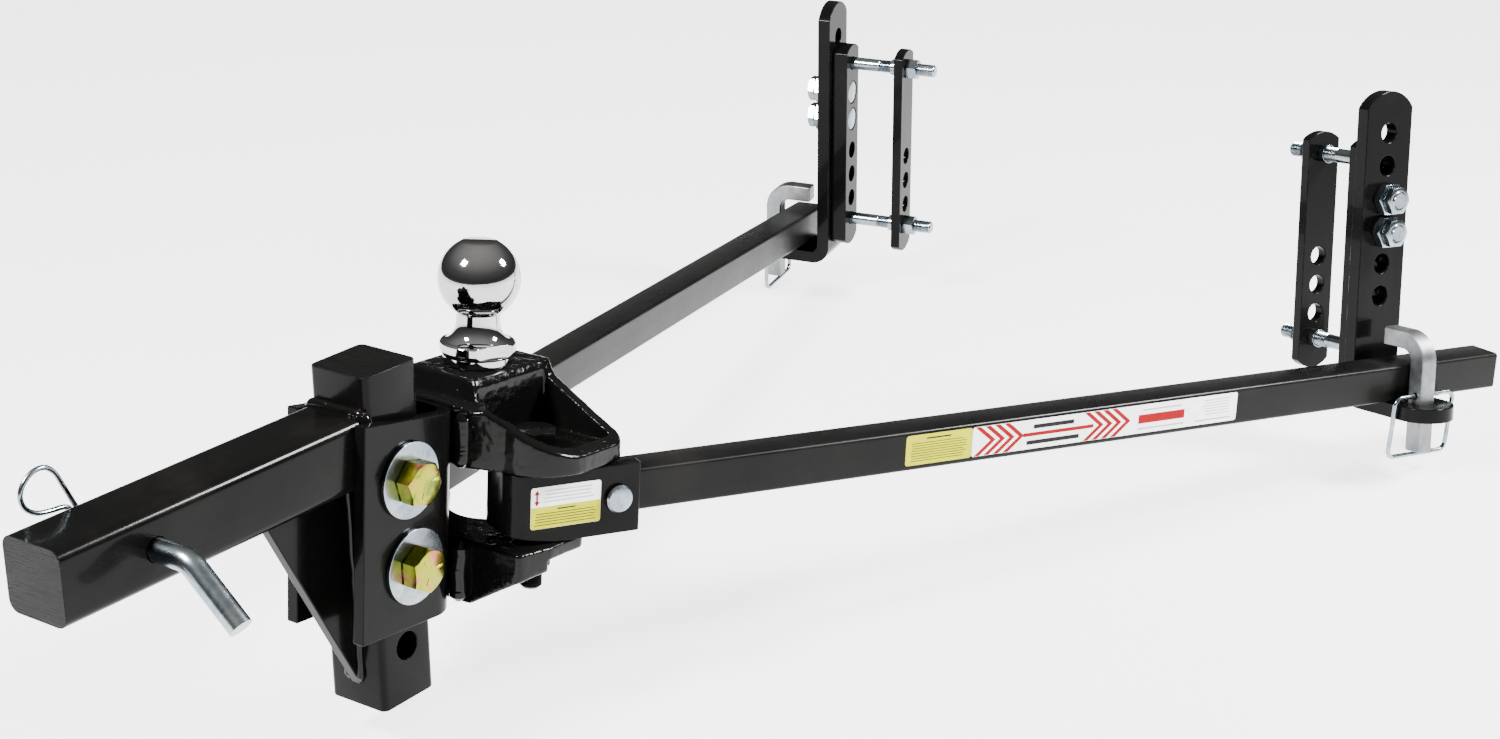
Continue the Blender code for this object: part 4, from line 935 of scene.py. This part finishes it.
# ----------------------------------------------------------------- brackets
def build_bracket(side):
    origin, x, out, z = bracket_frame(side)
    s = 1 if side == "left" else -1
    place = frame(origin, x, z)
    ft = foot_top(side)
    group = empty(side + "_bracket_slide", place)

    def hole(o0, o1, u, h, r, n=24):
        return cyl((u, s * o0, h), (u, s * o1, h), r, n)

    # L bracket: leaf, bend and foot from one bent profile
    c = (FOOT_BEND, ft + FOOT_BEND)
    prof = [(-LEAF_T, ft + LEAF_CROWN + 5), (-LEAF_T, c[1])]
    prof += arc(c[0], c[1], FOOT_BEND + LEAF_T, 180, 270, 20)[1:]
    prof += [(FOOT_END + 5, ft - LEAF_T), (FOOT_END + 5, ft)]
    prof += arc(c[0], c[1], FOOT_BEND, 270, 180, 12)
    prof += [(0, ft + LEAF_CROWN + 5)]
    body = prism([(s * o, h) for o, h in prof], "x", -LEAF_HALF, LEAF_HALF)
    face = prism([(-LEAF_HALF - 1, ft - 20), (LEAF_HALF + 1, ft - 20), (LEAF_HALF + 1, ft + 100),
                  (LEAF_HALF + 0.001, ft + 100)] + crown(LEAF_HALF + 0.001, ft + LEAF_TOP, ft + LEAF_CROWN, 28)
                 + [(-LEAF_HALF - 0.001, ft + 100), (-LEAF_HALF - 1, ft + 100)], "y", -100, 100)
    rim = arc(0, 0, LEAF_HALF + 0.001, 0, 180, 36)
    foot = prism([(-LEAF_HALF - 0.001, -s * 20), (LEAF_HALF + 0.001, -s * 20)]
                 + [(p, s * (FOOT_END - LEAF_HALF + q)) for p, q in rim], "z", ft - 60, ft + LEAF_CROWN + 20)
    tools = [("INTERSECT", face), ("INTERSECT", foot)]
    tools += [("DIFFERENCE", hole(-20, 8, 0, ft + LEAF_HOLE_TOP - i * LEAF_PITCH, LEAF_HOLE_D / 2))
              for i in range(6)]
    sq = L_PIN / 2 + 0.6
    tools.append(("DIFFERENCE", prism(rect(-sq, sq, s * (L_PIN_POS - sq), s * (L_PIN_POS + sq)),
                                      "z", ft - 40, ft + 20)))
    node(side + "_l_bracket", carve(body, tools), "gloss_black", place, group, bevel=0.8)

    # frame links: straps either side of the trailer frame
    angle_z = [ft + LEAF_HOLE_TOP - i * LEAF_PITCH for i in (2, 3)]
    bolt_z = [ft + h for h in FRAME_BOLT_Z]
    strap = crown(LINK_HALF, ft + LINK_Z1 - LINK_TOP_ARCH, ft + LINK_Z1, 22)
    low = crown(LINK_HALF, -LINK_Z0 - LINK_LOW_ARCH, -LINK_Z0, 20)
    strap += [(-u, ft - h) for u, h in low]
    o1 = -LEAF_T - GAP
    o2 = o1 - INNER_T
    tools = [hole(o1 + 5, o2 - 5, 0, h, 8.3) for h in angle_z]
    tools += [hole(o2 - 5, o2 + 6.0, 0, h, 11.75, 28) for h in angle_z]
    tools += [hole(o1 + 5, o2 - 5, 0, h, FRAME_BOLT_D / 2 + 0.35) for h in bolt_z]
    tools += [hole(o1 + 5, o1 - 4.8, 0, h, 11.2, 28) for h in bolt_z]
    tools += [hole(o1 + 5, o2 - 5, 0, ft + h, 8.3) for h in LINK_HOLES]
    node(side + "_inner_link", minus(prism(strap, "y", s * o1, s * o2), *tools), "gloss_black", place, group, bevel=0.8)
    o3 = o2 - FRAME_GAP
    o4 = o3 - OUTER_T
    tools = [hole(o3 + 5, o4 - 5, 0, h, FRAME_BOLT_D / 2 + 0.35) for h in bolt_z]
    tools += [hole(o3 + 5, o4 - 5, 0, ft + h, 8.3) for h in LINK_HOLES]
    node(side + "_outer_link", minus(prism(strap, "y", s * o3, s * o4), *tools), "gloss_black", place, group, bevel=0.8)

    for tag, h in zip(("upper", "lower"), angle_z):
        r = ANGLE_BOLT_D / 2
        end = ANGLE_BOLT_END
        prof = [(0, o2 + 0.1), (9.6, o2 + 0.1), (10.9, o2 + 0.6), (11.25, o2 + 1.6), (11.25, o2 + 5.6), (r, o2 + 5.6), (r, -2.0)] + thread(r, -1.0, end - 1.2, 1.6) + [(r - 1.4, end), (0, end)]
        node(side + "_angle_bolt_" + tag, lathe(prof, 28, along((0, 0, h), (0, s, 0))), "zinc", place, group)
        rim = lathe([(0, 8.4), (10.6, 8.4), (10.6, 10.0), (0, 10.0)], 28, along((0, 0, h), (0, s, 0)))
        bm = carve(hexnut((0, s * GAP, h), (0, s * 8.8, h), 26.0, turn=NUT_TURN),
                   [("UNION", rim), ("UNION", hexnut((0, s * 9.6, h), (0, s * 16.6, h), 22.4, turn=NUT_TURN)),
                    ("DIFFERENCE", cyl((0, s * -5, h), (0, s * 40, h), r + 0.35, 24))])
        node(side + "_angle_nut_" + tag, bm, "zinc", place, group)

    for tag, h in zip(("upper", "lower"), reversed(bolt_z)):
        r = FRAME_BOLT_D / 2
        prof = [(0, o1 - 0.2), (9.4, o1 - 0.2), (10.3, o1 - 0.7), (10.6, o1 - 1.6), (10.6, o1 - 4.4), (r, o1 - 4.4), (r, o3 + 20.0)] + thread(r, o3 + 19.0, FRAME_BOLT_END + 1.2, 1.5)
        prof += [(r - 1.4, FRAME_BOLT_END), (0, FRAME_BOLT_END)]
        node(side + "_frame_bolt_" + tag, lathe(prof, 24, along((0, 0, h), (0, s, 0))), "zinc", place, group)
        nut = minus(hexnut((0, s * (o4 - GAP), h), (0, s * (o4 - GAP - 11.0), h), 19.0, turn=0.2),
                    cyl((0, s * (o4 + 5), h), (0, s * (o4 - 20), h), r + 0.35, 24))
        node(side + "_frame_nut_" + tag, nut, "zinc", place, group)
        ring = minus(cyl((0, s * (o3 + GAP), h), (0, s * (o3 + GAP + 7.0), h), 8.2, 24),
                     cyl((0, s * (o3 - 5), h), (0, s * (o3 + 20), h), r + 0.35, 24))
        node(side + "_bolt_collar_" + tag, ring, "zinc", place, group, bevel=0.5)

    # bent L-pin through the square hole of the foot, hooked over the arm
    half = L_PIN / 2
    cx, cz = L_PIN_POS - L_PIN_R, L_PIN_TOP - half - L_PIN_R
    prof = [(L_PIN_POS + half, L_PIN_LOW)] + arc(cx, cz, L_PIN_R + half, 0, 90, 24)
    prof += [(L_PIN_TIP, L_PIN_TOP), (L_PIN_TIP, L_PIN_TOP - L_PIN)]
    prof += arc(cx, cz, L_PIN_R - half, 90, 0, 18) + [(L_PIN_POS - half, L_PIN_LOW)]
    pivot_z = ft + BAIL_PIVOT
    leg = frame(origin + out * L_PIN_POS, x, z)
    lift = empty(side + "_l_pin_lift", leg, group)
    bm = minus(prism([(s * o, h) for o, h in prof], "x", -half, half),
               cyl((-20, s * L_PIN_POS, pivot_z), (20, s * L_PIN_POS, pivot_z), 2.45, 16))
    bm.transform(Matrix.Translation((0, -s * L_PIN_POS * MM, 0)))
    node(side + "_l_pin", bm, "galvanised", leg, lift, bevel=1.3)

    # wire safety bail hinged in the pin's leg, hanging plumb
    plumb = Vector((0, 0, 1)) - x * x.z
    pts = [(-1.2, 0, 0), (BAIL_U0, 0, 0), (BAIL_U0, 0, BAIL_DROP), (BAIL_U1, 0, BAIL_DROP), (BAIL_U1, 0, 0),
           (1.2, 0, 0)]
    node(side + "_wire_clip", wire(fillet(pts, 7.0, 12, closed=False), WIRE_D, 6), "zinc",
         frame(origin + out * L_PIN_POS + z * pivot_z, x, plumb), lift)




# -------------------------------------------------------------------- details
def bead(name, path, radius, body, kind="weld_black", place=None, ripple=4.6, seed=0):
    """Weld bead: a swept, rippled, slightly wandering ridge along a path."""
    pts = [Vector(p) for p in path]
    line = []
    for a, b in zip(pts, pts[1:]):
        n = max(1, int((b - a).length / 0.55))
        line += [a.lerp(b, k / n) for k in range(n)]
    line.append(pts[-1])
    bm = bmesh.new()
    rings, seg, run = [], 20, 0.0
    side = None
    for i, p in enumerate(line):
        t = (line[min(i + 1, len(line) - 1)] - line[max(i - 1, 0)]).normalized()
        if side is None:
            side = t.orthogonal().normalized()
        side = (side - t * side.dot(t)).normalized()
        up = t.cross(side)
        run += (line[i] - line[i - 1]).length if i else 0.0
        wob = noise.noise(Vector((run * 0.12, seed * 3.7, 0)))
        phase = run / ripple + 0.8 * noise.noise(Vector((run * 0.15, seed, 2)))
        k = 1.0 + 0.008 * sin(2 * pi * phase) + 0.05 * wob
        end = min(1.0, 0.35 + min(run, 4.0) / 6.0, 0.35 + (len(line) - 1 - i) * 0.55 / 6.0)
        c = p + side * (0.7 * noise.noise(Vector((run * 0.06, seed, 5)))) + up * (0.7 * noise.noise(Vector((run * 0.07, seed, 9))))
        ring = []
        for j in range(seg):
            a = 2 * pi * j / seg
            n = side * cos(a) + up * sin(a)
            q = c + n * (radius * k * end)
            q += n * (0.6 * noise.noise(q * 0.09 + Vector((seed, 0, 0))))
            ring.append(bm.verts.new(q * MM))
        rings.append(ring)
    for r0, r1 in zip(rings, rings[1:]):
        for j in range(seg):
            bm.faces.new((r0[j], r0[(j + 1) % seg], r1[(j + 1) % seg], r1[j]))
    bm.faces.new(rings[0][::-1])
    bm.faces.new(rings[-1])
    return finish_piece(name, bm, kind, place, body, 80.0)


def spatter(name, centre, spread, count, body, place=None, seed=1):
    """Weld spatter: a few small beads stuck to the steel under the paint."""
    rnd = random.Random(seed)
    bm = bmesh.new()
    for k in range(count):
        c = Vector(centre) + Vector([rnd.uniform(-s, s) for s in spread])
        r = rnd.uniform(0.5, 1.3)
        bmesh.ops.create_icosphere(bm, subdivisions=2, radius=r * MM, matrix=Matrix.Translation(c * MM))
    return finish_piece(name, bm, "weld_black", place, body, 80.0)


def build_welds():
    h = BAR / 2
    root = "head_and_shank"
    c = SHANK_CORNER * 0.45
    x = DROP_X0 - 0.6
    loop = [(x, -h + c, h - c * 0.1), (x, h - c, h - c * 0.1)]
    ring = fillet([(-h, -h), (h, -h), (h, h), (-h, h)], SHANK_CORNER, 5)
    ring = [(x, a, b) for a, b in ring] + [(x, *ring[0])]
    bead("weld_shank_to_drop_bar", ring, 4.4, root, seed=1)
    g = GUSSET_T / 2
    for tag, s in (("near", -1), ("far", 1)):
        bead("weld_gusset_top_" + tag, [(182, s * (g + 0.6), -h - 0.6), (DROP_X0 - 3, s * (g + 0.6), -h - 0.6)], 3.4, root, seed=2 + s)
        bead("weld_gusset_rear_" + tag, [(DROP_X0 - 0.6, s * (g + 0.6), -h - 3), (DROP_X0 - 0.6, s * (g + 0.6), -176)], 3.4, root, seed=5 + s)
    for tag, s in (("near", -1), ("far", 1)):
        bead("weld_upper_head_" + tag, [(50.6, s * 32.5, CAST_Z0 + 1), (50.6, s * 32.5, 97.0)], 6.6, root, "weld_black", HEAD, 5.5, seed=8 + s)
        bead("weld_lower_head_" + tag, [(50.4, s * 33.0, -41), (50.8, s * 33.0, 3.0)], 6.6, root, "weld_black", HEAD, 5.5, seed=11 + s)
    bead("weld_upper_head_top", [(52.2, -31, 98.2), (52.2, 31, 98.2)], 4.2, root, "weld_black", HEAD, seed=14)
    spatter("weld_spatter_shank", (252, -20, 27.0), (9, 5, 1.2), 10, root, seed=3)
    spatter("weld_spatter_head", (56, -38, 92), (4, 3, 7), 9, root, HEAD, seed=4)


def plate_on(side, t0, t1, z0, z1, off, thick, radius, kind, name, body):
    """Thin sticker on an arm's or socket's outboard face; t along the arm, z in the head frame."""
    u, pivot, s = arm_axes(side)
    pts = fillet(rect(t0, t1, z0, z1), radius, 6) if radius else rect(t0, t1, z0, z1)
    bm = prism(pts, "y", s * off, s * (off + thick))
    return finish_piece(name, bm, kind, frame(pivot, u, ZH), body)


def poly_on(side, pts, off, thick, kind, name, body):
    u, pivot, s = arm_axes(side)
    return finish_piece(name, prism(pts, "y", s * off, s * (off + thick)), kind, frame(pivot, u, ZH), body)


def joined(name, parts):
    """Several small marks of one colour as one mesh."""
    bm = bmesh.new()
    for b in parts:
        me = bpy.data.meshes.new("tmp")
        b.to_mesh(me)
        b.free()
        bm.from_mesh(me)
        bpy.data.meshes.remove(me)
    return bm


def marks(side, shapes, off, thick, kind, name, body):
    u, pivot, s = arm_axes(side)
    bm = joined(name, [prism(p, "y", s * off, s * (off + thick)) for p in shapes])
    return finish_piece(name, bm, kind, frame(pivot, u, ZH), body)


def build_labels():
    side, body = "right", "right_arm"
    o = SOCKET_HALF
    plate_on(side, -14.5, 39.6, -15.0, 15.4, o + 0.02, 0.16, 2.0, "label_white", "label_socket_sheet", body)
    low = [(-14.5, 1.0)] + fillet([(-14.5, -15.0), (39.6, -15.0)], 0, 1, False) + [(39.6, 1.0)]
    poly_on(side, [(-14.4, 1.0), (-14.4, -13.0), (-13.8, -14.4), (-12.4, -14.9), (37.5, -14.9), (38.9, -14.4),
                   (39.5, -13.0), (39.5, 1.0)], o + 0.19, 0.05, "label_yellow", "label_socket_panel", body)
    x = -10.0
    arrow = [(x, 13.6), (x - 2.2, 10.2), (x - 0.7, 10.2), (x - 0.7, 5.2), (x - 2.2, 5.2), (x, 1.8), (x + 2.2, 5.2),
             (x + 0.7, 5.2), (x + 0.7, 10.2), (x + 2.2, 10.2)]
    marks(side, [arrow], o + 0.19, 0.05, "label_red", "label_socket_arrow", body)
    rnd = random.Random(5)
    rows = [rect(-5.5 + rnd.uniform(0, 2), 36.5 - rnd.uniform(0, 5), z, z + 0.75) for z in (12.0, 9.4, 6.8, 4.2)]
    marks(side, rows, o + 0.19, 0.03, "label_faint", "label_socket_rules_upper", body)
    rows = [rect(6.0, 20.0, -2.0, -1.0)]
    rows += [rect(-11.5 + rnd.uniform(0, 1), 36.5 - rnd.uniform(0, 3), z, z + 0.6) for z in (-4.4, -6.4, -8.4, -10.4, -12.6)]
    marks(side, rows, o + 0.25, 0.03, "label_ink", "label_socket_rules_lower", body)

    a = ARM / 2
    plate_on(side, 305.5, 367.0, -11.4, 12.6, a + 0.02, 0.16, 2.2, "label_yellow", "label_arm_caution", body)
    rows = [rect(324.0, 347.0, 8.6, 9.8)]
    rows += [rect(310.0 + rnd.uniform(0, 1), 362.5 - rnd.uniform(0, 4), z, z + 0.55)
             for z in (5.6, 3.6, 1.6, -0.4, -2.4, -4.4, -6.4, -8.4)]
    marks(side, rows, a + 0.19, 0.03, "label_ink", "label_arm_caution_rules", body)
    plate_on(side, 367.4, 636.0, -11.4, 12.6, a + 0.02, 0.16, 2.2, "label_white", "label_arm_band", body)

    def chevron(t, w, d):
        return [(t, 12.4), (t + w, 12.4), (t + w + d, 0.6), (t + w, -11.2), (t, -11.2), (t + d, 0.6)]

    rows = [chevron(369.5 + 9.2 * k, 5.2, 15) for k in range(4)] + [chevron(476 + 9.2 * k, 5.2, 15) for k in range(4)]
    rows.append(rect(416.5, 486.0, -0.9, 2.1))
    marks(side, rows, a + 0.19, 0.05, "label_red", "label_arm_chevrons", body)
    rows = [rect(426.0, 466.0, 5.0, 8.4), rect(420.0, 472.0, -7.8, -4.4)]
    marks(side, rows, a + 0.19, 0.04, "label_ink", "label_arm_bars", body)
    rows = [rect(536.0, 576.0, 7.4, 8.6), rect(532.0, 580.0, -8.2, -7.0)]
    rows += [rect(598.0 + rnd.uniform(0, 5), 628.0, z, z + 0.7) for z in (8.6, 6.2, 3.8, 1.4, -1.0, -3.4)]
    rows += [rect(592.0, 630.0, -8.4, -7.2)]
    marks(side, rows, a + 0.19, 0.03, "label_faint", "label_arm_rules", body)
    marks(side, [rect(532.0, 580.0, -3.2, 4.2)], a + 0.19, 0.05, "label_red", "label_arm_block", body)


def build_stage():
    z = (FLOOR_Z - 0.1) * MM
    bm = bmesh.new()
    s = 9.0
    vs = [bm.verts.new((x, y, z)) for x, y in ((-s, -s), (s, -s), (s, s), (-s, s))]
    bm.faces.new(vs)
    me = bpy.data.meshes.new("studio_floor")
    bm.to_mesh(me)
    bm.free()
    ob = bpy.data.objects.new("studio_floor", me)
    bpy.context.scene.collection.objects.link(ob)
    m, nt, p = nodes_of("pale_floor")
    co = nt.nodes.new("ShaderNodeTexCoord")
    n = noise_tex(nt, co, 1.2, 3.0)
    t = ramp(nt, n.outputs["Fac"], [(0.3, grey(0.33)), (0.7, grey(0.36))])
    nt.links.new(t.outputs["Color"], p.inputs["Base Color"])
    p.inputs["Roughness"].default_value = 0.75
    p.inputs["Specular IOR Level"].default_value = 0.1
    p.inputs["Emission Color"].default_value = (0.92, 0.92, 0.92, 1)
    p.inputs["Emission Strength"].default_value = FLOOR_GLOW
    me.materials.append(m)


def area_light(name, at, to, size, power, size_y=None, colour=(1, 1, 1)):
    li = bpy.data.lights.new(name, "AREA")
    li.shape = "RECTANGLE"
    li.size, li.size_y = size, size_y or size
    li.energy = power
    li.color = colour
    ob = bpy.data.objects.new(name, li)
    bpy.context.scene.collection.objects.link(ob)
    ob.location = at
    ob.rotation_mode = "QUATERNION"
    ob.rotation_quaternion = (Vector(to) - Vector(at)).to_track_quat("-Z", "Y")
    return ob


def build_light():
    world = bpy.data.worlds.new("studio_world")
    world.use_nodes = True
    nt = world.node_tree
    bg = nt.nodes["Background"]
    co = nt.nodes.new("ShaderNodeTexCoord")
    sep = nt.nodes.new("ShaderNodeSeparateXYZ")
    nt.links.new(co.outputs["Generated"], sep.inputs[0])
    sky = ramp(nt, sep.outputs["Z"], [(0.0, grey(0.10)), (0.10, grey(0.07)), (0.40, grey(0.16)), (1.0, (0.62, 0.60, 0.56))])
    nt.links.new(sky.outputs["Color"], bg.inputs["Color"])
    bg.inputs["Strength"].default_value = 1.0
    bpy.context.scene.world = world
    target = Vector((0.45, 0.0, -0.05))
    m = bpy.context.scene.camera.matrix_world
    right, up, back = m.col[0].xyz, m.col[1].xyz, m.col[2].xyz
    for name, (a, b, c), dist, size, power in LAMPS:
        at = target + (right * a + up * b + back * c).normalized() * dist
        area_light(name, at, target, size, power)


FLOOR_Z = -224.3
FLOOR_GLOW = 3.6
LAMPS = (("left_softbox", (-0.54, 0.60, 0.62), 2.4, 0.50, 250.0),
         ("right_softbox", (0.91, 0.62, 0.10), 2.3, 0.50, 215.0))


def build_camera():
    yaw, pitch, roll = 0.60827, 0.36063, -0.003832
    at = Vector((-0.825958, -1.087071, 0.621418))
    cp, sp, cy, sy = cos(pitch), sin(pitch), cos(yaw), sin(yaw)
    fwd = Vector((cp * cy, cp * sy, -sp))
    right = Vector((sy, -cy, 0))
    up = right.cross(fwd)
    r = right * cos(roll) + up * sin(roll)
    u = -right * sin(roll) + up * cos(roll)
    cam = bpy.data.cameras.new("camera")
    cam.lens, cam.sensor_width, cam.clip_start, cam.clip_end = 58.775, 36.0, 0.02, 30.0
    ob = bpy.data.objects.new("camera", cam)
    bpy.context.scene.collection.objects.link(ob)
    ob.matrix_world = Matrix(((r.x, u.x, -fwd.x, at.x), (r.y, u.y, -fwd.y, at.y), (r.z, u.z, -fwd.z, at.z), (0, 0, 0, 1)))
    bpy.context.scene.camera = ob


def main():
    build_camera()
    build_shank()
    build_hitch_pin()
    build_head()
    build_castings()
    build_ball()
    for side in ("right", "left"):
        build_arm(side)
        build_bracket(side)
    build_welds()
    build_labels()
    build_stage()
    build_light()


main()
